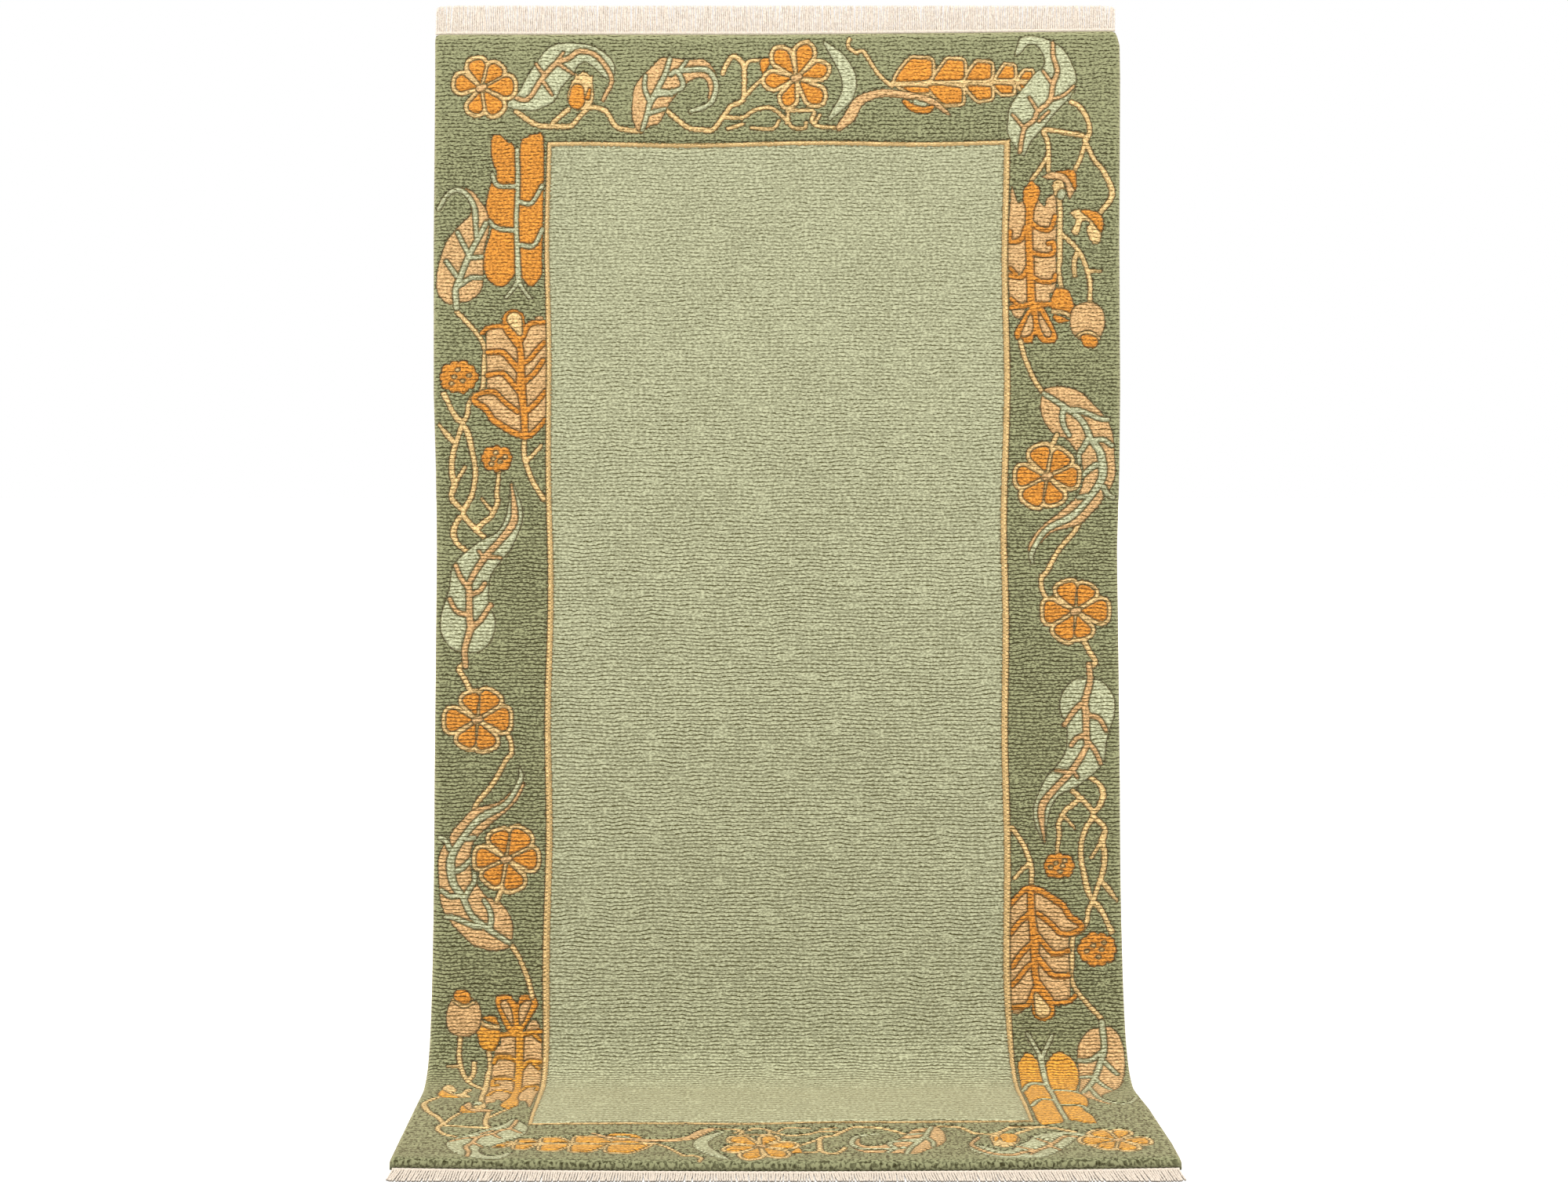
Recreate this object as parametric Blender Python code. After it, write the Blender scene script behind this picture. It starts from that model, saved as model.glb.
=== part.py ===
"""Hand-knotted wool runner rug, hung by its head edge, with its foot end turned out on the floor.

Lengths are in metres. The rug is first laid out flat: u runs across it from the middle, v runs
along it from the middle with the head end positive, and w runs through it from the back of the
weave to the tips of the pile. The fold then carries each flat point to its place in the room,
with +Z up and the face of the rug towards -Y.
"""
import math
import random

import bmesh
import bpy
import numpy as np

# The woven piece
RUG_NAME = "Tibetan runner rug"
RUG_WIDTH = 0.900
RUG_LENGTH = 1.660
THICKNESS = 0.014
HALF_WIDTH = RUG_WIDTH / 2
HALF_LENGTH = RUG_LENGTH / 2

# The pile rounds over at the rug's edge, and the corners are half as round as that
RIM = 0.009
EDGE_HEIGHT = 0.0065
RIM_STATIONS = (0.0, 0.15, 0.45, 1.0)
CORNER_ROUNDNESS = 0.5

# Gold inner line, left standing between two carved grooves
LINE_U = 0.2998
LINE_HEAD = 0.6855
LINE_FOOT = 0.6955
GROOVE_OFFSET = 0.0044
GROOVE_HALF = 0.0026
GROOVE_DEPTH = 0.0022
LINE_WAVER = 0.0014
WAVER_LENGTH = 0.31
HEAD_TILT = 0.003
FOOT_TILT = 0.020

# Half width of the rug at each side, along its length
EDGE_ROWS = (
    # v, left, right
    (0.830, 0.4486, 0.4448),
    (0.812, 0.4486, 0.4498),
    (0.770, 0.4486, 0.4506),
    (0.560, 0.4506, 0.4496),
    (0.360, 0.4506, 0.4506),
    (0.258, 0.4476, 0.4496),
    (0.155, 0.4466, 0.4466),
    (0.000, 0.4480, 0.4486),
    (-0.155, 0.4496, 0.4504),
    (-0.300, 0.4500, 0.4506),
    (-0.560, 0.4506, 0.4520),
    (-0.640, 0.4506, 0.4565),
    (-0.770, 0.4506, 0.4580),
    (-0.830, 0.4506, 0.4565),
)

# The head edge climbs towards its right corner, and the foot edge bows out in the middle
HEAD_CLIMB = 0.0045
FOOT_BOW = 0.012
ENDS_START = 0.600

# The fold: how far the rug has turned forward from upright, by the run below its middle
FOLD_ROWS = (
    # run, turn in degrees
    (0.150, 0.0),
    (0.300, 4.0),
    (0.400, 8.0),
    (0.470, 17.0),
    (0.510, 36.0),
    (0.540, 66.0),
    (0.575, 90.0),
)
PATH_STEP = 0.0005
PATH_LENGTH = 1.000

# Rows and columns of the face between the rim and the inner line
PLAIN_COLUMNS = (0.0, 0.100, 0.200, 0.350, 0.400)
UPRIGHT_ROWS = (0.750, 0.600, 0.500, 0.400, 0.300, 0.200, 0.100, 0.0, -0.100, -0.200)
BEND_TOP = -0.300
BEND_FOOT = -0.585
BEND_STEP = 0.015
FLOOR_ROWS = (-0.640, -0.770)

# Webs and fringes
CLEARANCE = 0.0003
WEB_REACH = 0.004
WEB_THICKNESS = 0.0036
STRANDS = 150
STRAND_WIDTH = 0.0033
STRAND_STEPS = (0.5, 1.0)
STRAND_TAPER = 0.25
WEB_BLOCK = 10
CORNER_FALL = 0.010
LEAN_WAVE = 0.0020
LEAN_PITCH = 0.110
LEAN_JITTER = 0.0007
LEAN_CURVE = 1.5
CUT_JITTER = 0.001
CURL = 0.0010
FRINGES = (
    # name, end, left, right, web floor, strand length, corner drop, fan, curl, seed
    ("fringe_head", 1, -0.4485, 0.4440, 0.0014, 0.0346, 0.005, 0.000, CURL, 7),
    ("fringe_foot", -1, -0.4460, 0.4520, 0.0, 0.0347, 0.006, 0.002, 0.0, 11),
)

# Flat places closer than this are one place
TINY = 1e-6

# Edges sharper than this stay sharp in shading
SHARP_ANGLE = math.radians(35.0)

# Colours (linear), roughness
WOOL_COLOUR = (0.330, 0.345, 0.190, 1.0)
COTTON_COLOUR = (0.800, 0.700, 0.560, 1.0)
WOOL_ROUGHNESS = 0.92
COTTON_ROUGHNESS = 0.85


def clear_scene():
    for item in list(bpy.data.objects):
        bpy.data.objects.remove(item, do_unlink=True)


def make_material(name, colour, roughness):
    material = bpy.data.materials.new(name)
    material.use_nodes = True
    shader = material.node_tree.nodes["Principled BSDF"]
    shader.inputs["Base Color"].default_value = colour
    shader.inputs["Roughness"].default_value = roughness
    shader.inputs["Metallic"].default_value = 0.0
    return material


def fold_path():
    """Place of the mid layer at each small step of the run below the rug's middle."""
    runs = np.arange(0.0, PATH_LENGTH, PATH_STEP)
    table = np.array(FOLD_ROWS)
    turns = np.radians(np.interp(runs, table[:, 0], table[:, 1]))
    middle = (turns[1:] + turns[:-1]) / 2
    y = np.concatenate(([0.0], np.cumsum(-np.sin(middle) * PATH_STEP)))
    z = np.concatenate(([0.0], np.cumsum(-np.cos(middle) * PATH_STEP)))
    floor = z[-1] - THICKNESS / 2
    return runs, turns, y, z - floor


PATH = fold_path()


def folded(u, v, w):
    """Place in the room of a flat point of the rug."""
    runs, turns, path_y, path_z = PATH
    run = -v
    turn = np.interp(run, runs, turns)
    y = np.interp(run, runs, path_y)
    z = np.interp(run, runs, path_z) + max(v, 0.0)
    height = w - THICKNESS / 2
    return u, y - height * math.cos(turn), z + height * math.sin(turn)


def end_drift(u, v):
    """How far the rug's uneven ends carry a flat point along it: up at the head, out at the foot."""
    share = min(max((abs(v) - ENDS_START) / (HALF_LENGTH - ENDS_START), 0.0), 1.0)
    if v > 0.0:
        return share * HEAD_CLIMB * max(u, 0.0) / HALF_WIDTH
    return -share * FOOT_BOW * (1.0 - (u / HALF_WIDTH) ** 2)


def outlined(u, v):
    """Flat point with the corners rounded and the edges as uneven as the rug's own."""
    beside = abs(u) - (HALF_WIDTH - RIM)
    beyond = abs(v) - (HALF_LENGTH - RIM)
    if beside > 0.0 and beyond > 0.0:
        pull = (max(beside, beyond) / math.hypot(beside, beyond)) ** CORNER_ROUNDNESS
        u = math.copysign(HALF_WIDTH - RIM + beside * pull, u)
        v = math.copysign(HALF_LENGTH - RIM + beyond * pull, v)
    rows = np.array(sorted(EDGE_ROWS))
    side = 1 if u < 0.0 else 2
    half = np.interp(v, rows[:, 0], rows[:, side])
    across = u * half / HALF_WIDTH
    return across, v + end_drift(across, v)


def pile_height(u, v):
    """Height of the pile at a flat point, with its rounded rim and the inner line's grooves."""
    inset = min(HALF_WIDTH - abs(u), HALF_LENGTH - abs(v))
    fall = max(1.0 - inset / RIM, 0.0)
    rim = EDGE_HEIGHT + (THICKNESS - EDGE_HEIGHT) * math.sqrt(max(1.0 - fall * fall, 0.0))
    across = max(abs(u) - LINE_U, v - LINE_HEAD, -v - LINE_FOOT)
    groove = max(1.0 - abs(abs(across) - GROOVE_OFFSET) / GROOVE_HALF, 0.0)
    return rim - GROOVE_DEPTH * groove


def waver(u, v):
    """Hand-carved line: it strays a little to each side, and crosses the ends at a slant."""
    near_column = max(1.0 - abs(abs(u) - LINE_U) / (HALF_WIDTH - LINE_U), 0.0)
    line, tilt = (LINE_HEAD, HEAD_TILT) if v > 0.0 else (LINE_FOOT, FOOT_TILT)
    near_row = max(1.0 - abs(abs(v) - line) / (HALF_LENGTH - line), 0.0)
    along_v = LINE_WAVER * math.sin(math.tau * v / WAVER_LENGTH + u)
    along_u = LINE_WAVER * math.sin(math.tau * u / WAVER_LENGTH + v) + tilt * u
    return u + along_v * near_column, v + along_u * near_row


def line_stations(centre):
    """Places across the inner line and its two grooves."""
    offsets = (GROOVE_OFFSET - GROOVE_HALF, GROOVE_OFFSET, GROOVE_OFFSET + GROOVE_HALF)
    return [centre + sign * offset for sign in (-1, 1) for offset in offsets]


def rim_stations(half):
    return [half - RIM * share for share in RIM_STATIONS]


def columns_and_rows():
    half_columns = rim_stations(HALF_WIDTH) + line_stations(LINE_U) + list(PLAIN_COLUMNS)
    half_rows = rim_stations(HALF_LENGTH)
    bend = np.linspace(BEND_TOP, BEND_FOOT, round((BEND_TOP - BEND_FOOT) / BEND_STEP) + 1)
    columns = {sign * place for sign in (-1, 1) for place in half_columns}
    rows = {sign * place for sign in (-1, 1) for place in half_rows}
    rows.update(line_stations(LINE_HEAD), line_stations(-LINE_FOOT))
    rows.update(UPRIGHT_ROWS, FLOOR_ROWS, bend.tolist())
    return sorted(columns), sorted(rows)


def grid_mesh(columns, rows):
    """A flat grid with its lines at the given places."""
    mesh = bmesh.new()
    across = len(columns) - 1
    along = len(rows) - 1
    bmesh.ops.create_grid(mesh, x_segments=across, y_segments=along, size=0.5)
    for vert in mesh.verts:
        column = round((vert.co.x + 0.5) * across)
        row = round((vert.co.y + 0.5) * along)
        vert.co = (columns[column], rows[row], 0.0)
    return mesh


def thicken(mesh):
    """Close the flat grid into a slab, and return the vertices of its upper side."""
    result = bmesh.ops.extrude_face_region(mesh, geom=list(mesh.faces), use_keep_orig=True)
    return [item for item in result["geom"] if isinstance(item, bmesh.types.BMVert)]


def near(first, second):
    return abs(first - second) < TINY


def finish(mesh, name, material, collection):
    """Turn the faces outward, by the sign of the volume too, and make the object."""
    bmesh.ops.recalc_face_normals(mesh, faces=list(mesh.faces))
    if mesh.calc_volume(signed=True) < 0.0:
        bmesh.ops.reverse_faces(mesh, faces=list(mesh.faces))
    data = bpy.data.meshes.new(name)
    mesh.to_mesh(data)
    mesh.free()
    data.materials.append(material)
    data.shade_smooth()
    data.set_sharp_from_angle(angle=SHARP_ANGLE)
    item = bpy.data.objects.new(name, data)
    collection.objects.link(item)
    return item


def pile_rug(material, collection):
    """The knotted rug: one slab of pile on its foundation, folded as it hangs and lies."""
    columns, rows = columns_and_rows()
    mesh = grid_mesh(columns, rows)
    lifted = thicken(mesh)
    for vert in lifted:
        vert.co.z = pile_height(vert.co.x, vert.co.y)

    # The back is plain between its rows, so its lines along the rug are taken out
    along_back = [
        edge for edge in mesh.edges
        if all(near(vert.co.z, 0.0) for vert in edge.verts)
        and near(edge.verts[0].co.x, edge.verts[1].co.x)
        and not near(abs(edge.verts[0].co.x), HALF_WIDTH)
    ]
    bmesh.ops.dissolve_edges(mesh, edges=along_back, use_verts=True)

    # The part of the back that lies on the floor is one flat face
    across_floor = [
        edge for edge in mesh.edges
        if all(near(vert.co.z, 0.0) for vert in edge.verts)
        and near(edge.verts[0].co.y, edge.verts[1].co.y)
        and -HALF_LENGTH + TINY < edge.verts[0].co.y < BEND_FOOT - TINY
    ]
    bmesh.ops.dissolve_edges(mesh, edges=across_floor, use_verts=False)

    for vert in mesh.verts:
        u, v = waver(vert.co.x, vert.co.y)
        u, v = outlined(u, v)
        vert.co = folded(u, v, vert.co.z)
    return finish(mesh, "pile_rug", material, collection)


def strand_columns(left, right):
    """Both sides of each strand's root along the web."""
    pitch = (right - left - STRAND_WIDTH) / (STRANDS - 1)
    starts = [left + pitch * number for number in range(STRANDS)]
    return [edge for start in starts for edge in (start, start + STRAND_WIDTH)]


def fringe(row, material, collection):
    """A web strip with its strands, flat at first: x across, y outward from the rug's end.

    The web follows the rug's uneven end, and the strands are cut off in a straight line.
    """
    name, end, left, right, base, length, corner_drop, fan, curl, seed = row
    draw = random.Random(seed)
    columns = strand_columns(left, right)
    mesh = grid_mesh(columns, [0.0, WEB_REACH])
    for vert in thicken(mesh):
        vert.co.z = WEB_THICKNESS

    # Every second face of the web's outer side is the root of a strand
    outer = [face for face in mesh.faces if all(near(vert.co.y, WEB_REACH) for vert in face.verts)]
    outer.sort(key=lambda face: face.calc_center_median().x)
    roots = outer[::2]
    centres = [face.calc_center_median().x for face in roots]
    lengths = []
    leans = []
    curls = []
    for centre in centres:
        to_corner = min(centre - left, right - centre)
        drop = corner_drop * math.exp(-to_corner / CORNER_FALL)
        wave = LEAN_WAVE * math.sin(math.tau * centre / LEAN_PITCH + seed)
        uneven = end * end_drift(centre, end)
        lengths.append(length - uneven - drop - draw.uniform(0.0, CUT_JITTER))
        leans.append(wave + draw.uniform(-LEAN_JITTER, LEAN_JITTER) + fan * centre / HALF_WIDTH)
        curls.append(draw.uniform(-curl, curl))

    # The strands grow out of their roots in steps, a little finer towards the tip
    caps = roots
    for share in STRAND_STEPS:
        caps = bmesh.ops.extrude_discrete_faces(mesh, faces=caps)["faces"]
        caps.sort(key=lambda face: face.calc_center_median().x)
        scale = 1.0 - STRAND_TAPER * share
        for number, cap in enumerate(caps):
            middle = cap.calc_center_median()
            for vert in cap.verts:
                side = math.copysign(STRAND_WIDTH / 2 * scale, vert.co.x - middle.x)
                top = WEB_THICKNESS * scale if vert.co.z > middle.z else 0.0
                vert.co = (
                    centres[number] + leans[number] * share ** LEAN_CURVE + side,
                    WEB_REACH + lengths[number] * share,
                    top + curls[number] * share,
                )

    # The web keeps only every tenth of its cross lines, and its two ends
    kept = columns[::WEB_BLOCK] + columns[-1:]
    crossing = [
        edge for edge in mesh.edges
        if any(near(vert.co.y, 0.0) for vert in edge.verts)
        and near(edge.verts[0].co.x, edge.verts[1].co.x)
        and not any(near(edge.verts[0].co.x, place) for place in kept)
    ]
    bmesh.ops.dissolve_edges(mesh, edges=crossing, use_verts=True)

    for vert in mesh.verts:
        u, outward, lift = vert.co
        v = end * (HALF_LENGTH + CLEARANCE + outward)
        vert.co = folded(u, v + end_drift(u, v), base + lift)
    return finish(mesh, name, material, collection)


def stand_on_origin(pieces):
    """Bring the middle of the rug's footprint to the origin."""
    points = np.array([vert.co for piece in pieces for vert in piece.data.vertices])
    low = points.min(axis=0)
    high = points.max(axis=0)
    shift = ((low[0] + high[0]) / 2, (low[1] + high[1]) / 2, low[2])
    for piece in pieces:
        for vert in piece.data.vertices:
            vert.co = (vert.co.x - shift[0], vert.co.y - shift[1], vert.co.z - shift[2])


def main():
    clear_scene()
    collection = bpy.data.collections.new(RUG_NAME)
    bpy.context.scene.collection.children.link(collection)
    wool = make_material("sage_wool", WOOL_COLOUR, WOOL_ROUGHNESS)
    pieces = [pile_rug(wool, collection)]
    for row in FRINGES:
        cotton = make_material(row[0] + "_cotton", COTTON_COLOUR, COTTON_ROUGHNESS)
        pieces.append(fringe(row, cotton, collection))
    stand_on_origin(pieces)


main()
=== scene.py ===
"""Looks of the hand-knotted wool runner: carved floral pile, woven back and cotton fringes.

Lengths are in metres. The rug is worked out flat first: u runs across it from the middle, v runs
along it with the head end positive, and w runs from the back of the weave to the tips of the pile.
The fold then carries each flat point to its place in the room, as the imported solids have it.
"""
import math

import bpy
import numpy as np
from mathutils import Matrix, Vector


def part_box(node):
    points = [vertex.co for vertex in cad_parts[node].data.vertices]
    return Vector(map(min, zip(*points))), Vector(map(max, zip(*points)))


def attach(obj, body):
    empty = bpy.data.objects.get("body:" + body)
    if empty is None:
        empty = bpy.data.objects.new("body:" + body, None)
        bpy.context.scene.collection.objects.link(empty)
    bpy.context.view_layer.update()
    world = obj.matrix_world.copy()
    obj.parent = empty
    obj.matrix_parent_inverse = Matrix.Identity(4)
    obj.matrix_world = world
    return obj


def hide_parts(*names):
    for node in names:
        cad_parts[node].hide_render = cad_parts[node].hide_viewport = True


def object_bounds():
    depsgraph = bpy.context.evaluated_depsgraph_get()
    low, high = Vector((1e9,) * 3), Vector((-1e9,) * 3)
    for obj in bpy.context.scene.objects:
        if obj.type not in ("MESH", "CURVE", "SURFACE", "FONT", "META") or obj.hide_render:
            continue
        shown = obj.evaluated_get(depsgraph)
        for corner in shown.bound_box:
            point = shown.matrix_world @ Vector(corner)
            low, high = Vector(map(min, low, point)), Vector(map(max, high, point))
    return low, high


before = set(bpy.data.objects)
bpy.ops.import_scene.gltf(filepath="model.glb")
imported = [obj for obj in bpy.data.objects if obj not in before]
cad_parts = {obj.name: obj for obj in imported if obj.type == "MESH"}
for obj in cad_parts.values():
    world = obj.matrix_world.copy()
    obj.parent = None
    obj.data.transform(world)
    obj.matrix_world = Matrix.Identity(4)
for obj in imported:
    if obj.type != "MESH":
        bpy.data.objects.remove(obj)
CAD_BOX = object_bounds()
TINY = 1e-12
BODY = "root"

# The woven piece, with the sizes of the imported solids
RUG_WIDTH = 0.900
RUG_LENGTH = 1.660
THICKNESS = 0.014
HALF_WIDTH = RUG_WIDTH / 2
HALF_LENGTH = RUG_LENGTH / 2
RIM = 0.009
EDGE_HEIGHT = 0.0065
CORNER_ROUNDNESS = 0.5
LINE_U = 0.2998
LINE_HEAD = 0.6855
LINE_FOOT = 0.6955
LINE_WAVER = 0.0014
WAVER_LENGTH = 0.31
HEAD_TILT = 0.003
FOOT_TILT = 0.020
GROOVE_OFFSET = 0.0044
GROOVE_HALF = 0.0026
GROOVE_DEPTH = 0.0022
EDGE_ROWS = (
    # v, left, right
    (0.830, 0.4486, 0.4448),
    (0.812, 0.4486, 0.4498),
    (0.770, 0.4486, 0.4506),
    (0.560, 0.4506, 0.4496),
    (0.360, 0.4506, 0.4506),
    (0.258, 0.4476, 0.4496),
    (0.155, 0.4466, 0.4466),
    (0.000, 0.4480, 0.4486),
    (-0.155, 0.4496, 0.4504),
    (-0.300, 0.4500, 0.4506),
    (-0.560, 0.4506, 0.4520),
    (-0.640, 0.4506, 0.4565),
    (-0.770, 0.4506, 0.4580),
    (-0.830, 0.4506, 0.4565),
)
HEAD_CLIMB = 0.0045
FOOT_BOW = 0.012
ENDS_START = 0.600
FOLD_ROWS = (
    # run below the middle, turn in degrees
    (0.150, 0.0),
    (0.300, 4.0),
    (0.400, 8.0),
    (0.470, 17.0),
    (0.510, 36.0),
    (0.540, 66.0),
    (0.575, 90.0),
)
PATH_STEP = 0.0005
PATH_LENGTH = 1.000

# The knots: columns and rows of the fine grid, how many of them the coarser pieces skip, how far
# within the inner line the back is coarser, and the stations on the side wall
COLUMNS = 540
ROWS = 996
FIELD_SKIP = 2
BACK_SKIP = 2
BACK_MIDDLE_SKIP = 7
BACK_INSET = 0.01
WALL_SHARES = (0.0, 0.5)

# The chart of the border: its unit, where it has the inner line, how the left side was knotted a
# little higher than it is drawn, how much wider veins and vines are knotted, the wander of the
# weaver's hand, how far from an edge its distance is told, and the steps between two places
CHART = 1 / 972
CHART_LINE = 0.687
CHART_STRETCH = 0.580
LEFT_PLACES = (-900, -240, -130, -60, 27, 211, 275, 384, 466, 485, 900)
LEFT_DRAWN = (-900, -240, -134, -66, 21, 200, 260, 371, 456, 485, 900)
VEIN_SWELL = 0.8
VINE_SWELL = 0.5
WANDER = 0.7
WANDER_PITCHES = ((31.0, 23.0), (13.0, 17.0))
REACH = 0.008
CURVE_STEPS = 6

# Half widths of the gold line: along each side from the foot to the head, and across each end
LINE_ROWS = (-0.66, -0.52, -0.42, 0.60)
LINE_LEFT = (0.0024, 0.0038, 0.0046, 0.0030)
LINE_RIGHT = (0.0024, 0.0031, 0.0045, 0.0040)
LINE_HEAD_HALF = 0.0028
LINE_FOOT_HALF = 0.0026

# Carving, and the pile's random ridges and swells: size across, size along, seed and height
CARVE_DEPTH = 0.0019
CARVE_HALF = 0.0018
RIDGES = (0.032, 0.0046, 3, 0.0004)
SWELLS = (0.09, 0.12, 5, 0.0007)
PATCH_MARGIN = 1.1

# Cotton ends
CLEARANCE = 0.0003
WEB_REACH = 0.0042
WEB_THICKNESS = 0.0036
WEB_COLUMNS = 361
WEB_SIDES = 17
WEB_ROUNDNESS = 0.5
WEB_RIB = 0.06
WEB_RIB_LENGTH = 0.0011
STRANDS = 316
STRAND_RADIUS = 0.00135
STRAND_SIDES = 8
STRAND_STEPS = 12
STRAND_TAPER = 0.10
STRAND_LIFT = 0.00005
STRAND_ROOT = 0.4
PLY_DEPTH = 0.14
TWIST_LENGTH = 0.0075
FRINGES = (
    # name, end, left, right, web floor, strand length, lean left, lean right, seed
    ("head", 1, -0.4485, 0.4440, 0.0014, 0.0345, 0.0, 0.0, 7),
    ("foot", -1, -0.4460, 0.4520, 0.0001, 0.0347, -0.0015, 0.0020, 11),
)

# How unevenly the strands lie: shorter at the corners, cut by hand, leaning in waves and alone,
# then height and turns of the small wobble of each, sideways and up
CORNER_DROP = 0.005
ROOT_JITTER = 0.0003
CUT_JITTER = 0.0005
STRAND_WAVES = ((0.0010, 0.11), (0.0008, 0.027))
LEAN_JITTER = 0.0004
LEAN_CURVE = 1.5
CURL = 0.0006
SIDE_WOBBLE = (0.0003, 7.0)
HIGH_WOBBLE = (0.0004, 5.0)

# Camera: level, looking along +Y, with the frame shifted off its axis
CAMERA_PLACE = (-0.0535, -2.77, 0.827)
LENS = 48.46
SENSOR = 36.0
SHIFT_X = 0.0305
SHIFT_Y = -0.0949

# Light: soft, from high in front and a little to the left, on a floor of this half width
KEY_STRENGTH = 3.0
KEY_SPREAD = math.radians(26.0)
KEY_COLOUR = (1.0, 0.97, 0.93)
KEY_TURN = (math.radians(22.0), 0.0, math.radians(-14.0))
KEY_PLACE = (0.0, -1.5, 4.0)
FLOOR_HALF = 30.0

# Colours as the eye sees them, from 0 to 255
FIELD_GREEN = (144, 145, 109)
BORDER_GREEN = (103, 104, 70)
GOLD_WOOL = (192, 162, 104)
ORANGE_WOOL = (180, 118, 42)
# The same orange wool painted lighter and yellower where the pile lies on the floor, for the light there
FLOOR_LIT_ORANGE = (189, 133, 46)
PEACH_WOOL = (178, 143, 92)
MINT_WOOL = (155, 157, 118)
# Brownish tint of the painted shade in the carved grooves
GROOVE_SHADE_TINT = (0.26, 0.22, 0.14, 1.0)
SHEEN_TINT = (1.0, 0.84, 0.52, 1.0)
# Ends of the pile's painted shade and light, which multiply its colour
DARK_TINT = (0.20, 0.18, 0.09, 1.0)
LIGHT_TINT = (2.0, 2.02, 2.45, 1.0)
WEFT_COTTON = (226, 214, 186)
CREAM_COTTON = (215, 203, 189)
FLOOR_WHITE = (246, 246, 246)
FLOOR_LIGHT = (250, 250, 250)

# Rows of knots, and how fine each noise is across and along, or all round
ROW_PITCH = 0.0049
ROW_DRIFT = 0.010
TUFT_DRIFT = 0.0010
TUFTS = (250.0, 430.0, 1.0)
DRIFTS = (17.0, 22.0, 1.0)
BREAKS = (34.0, 120.0, 1.0)
FLECKS = (260.0, 100.0, 1.0)
FIBRES = 1250.0
PATCHES = 13.0
BACK_FIBRES = 260.0
YARN_FIBRES = (900.0, 160.0, 900.0)
WEB_FIBRES = (900.0, 700.0, 1.0)
YARN_PATCHES = 330.0

# Ramps: where each starts and ends, and its value there if not 0 and 1. These follow a noise,
GAP_EDGE = (0.05, 0.19)
GAP_BREAKS = (0.20, 0.44)
TUFT_EDGE = (0.38, 0.62)
TUFT_STRAY = (0.2, 0.8, -0.0012, 0.0012)
PATCH_SHADE = (0.3, 0.7, -0.02, 0.02)
FLECK_SHADE = (0.32, 0.68, -0.19, 0.15)
BACK_SHADE = (-0.1, 1.1, 0.72, 1.08)
YARN_SHADE = (0.3, 0.7, 0.87, 1.07)
FIBRE_SHADE = (0.25, 0.75, 0.90, 1.04)
# these the way along the rug,
GAPS_GROW = (0.60, -0.10, 0.6, 1.0)
GAPS_CEASE = (0.032 - HALF_LENGTH, 0.022 - HALF_LENGTH, 1.0, 0.15)
FLECKS_START = (-0.58, -0.64)
FLECKS_CEASE = (0.006 - HALF_LENGTH, 0.026 - HALF_LENGTH, 0.25, 1.0)
LIT_ORANGE_RAMP = (-0.40, -0.52)
HEAD_LIGHT = (0.66, 0.76, 0.0, 0.05)
FRONT_SHADE = (0.050 - HALF_LENGTH, 0.002 - HALF_LENGTH, 1.0, 0.80)
FOOT_SHADE = (-0.1, 0.1, 0.90, 1.0)
# and these the height of the wool or yarn, the way in from the edge, and the way to a wool's edge
# Painted shade towards the base of the pile's side wall
WALL_SHADE = (0.0004, 0.0095, 0.24, 1.0)
# Painted shade on the flanks and underside of the fringe strands
DEPTH_SHADE = (-0.0002, 0.0005, 0.42, 1.0)
# Painted highlight along the pile's rounded edge
RIM_HIGHLIGHT = (0.013, 0.001, 0.0, 0.11)
FIELD_EDGE = (0.0006, -0.0006)
MOTIF_EDGE = (0.0, -0.0015)
# Painted shade in the carved grooves, against the ground and between two wools
GROUND_LINE = (0.0013, 0.0003)
GROUND_LINE_SHARE = (-0.001, 0.003, 0.6, 0.95)
WOOL_LINE = (0.0010, 0.0002, 0.0, 0.36)
PILE_BLUR = 0.0003
BACK_BLUR = 0.0008

# Painted shade and light of the pile: the shares of gaps, tufts and fibres, its ends on
# border and field, and what a motif adds to the ends and takes from the flecks
GAP_SHARE = 0.56
TUFT_SHARE = 0.34
FIBRE_SHARE = 0.10
BORDER_SHADE = (-1.25, 1.36)
FIELD_SHADE = (-0.21, 0.78)
MOTIF_SHADE = (0.92, -0.56)
MOTIF_CALM = 0.85

# Weave of the back: length of a row and of a knot, how deep they are, and how much weft shows
BACK_ROW = 0.0034
BACK_KNOT = 0.0030
KNOT_DEPTH = 0.25
ROW_DEPTH = 0.35
WEFT_SHARE = 0.22

GOLD, ORANGE, PEACH, MINT = range(4)

FLOWERS = (
    # centre, how blunt the petals are, then direction in degrees and reach of each
    ((-377, 740), 0.55, ((103, 40), (51, 39), (1, 45), (-56, 42), (-109, 38), (167, 39))),
    ((25, 751), 0.10, ((72, 50), (126, 49), (18, 46), (-45, 51), (-112, 44), (187, 46))),
    ((345, 244), 0.75, ((109, 43), (53, 41), (-3, 43), (-72, 41), (-123, 46), (181, 43))),
    ((382, 72), 0.75, ((112, 43), (63, 41), (1, 46), (-71, 39), (-120, 44), (181, 47))),
)
# A petal's outline: share of its reach, and half its width there when pointed and when blunt
PETAL = (
    (0.08, 0.05, 0.05), (0.42, 0.19, 0.26), (0.65, 0.26, 0.39), (0.85, 0.16, 0.37), (0.94, 0.02, 0.20),
)
PETAL_RIM = 5.6
HEART_HALF = 3.6
HEART_REACH = (3, 1)

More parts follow.
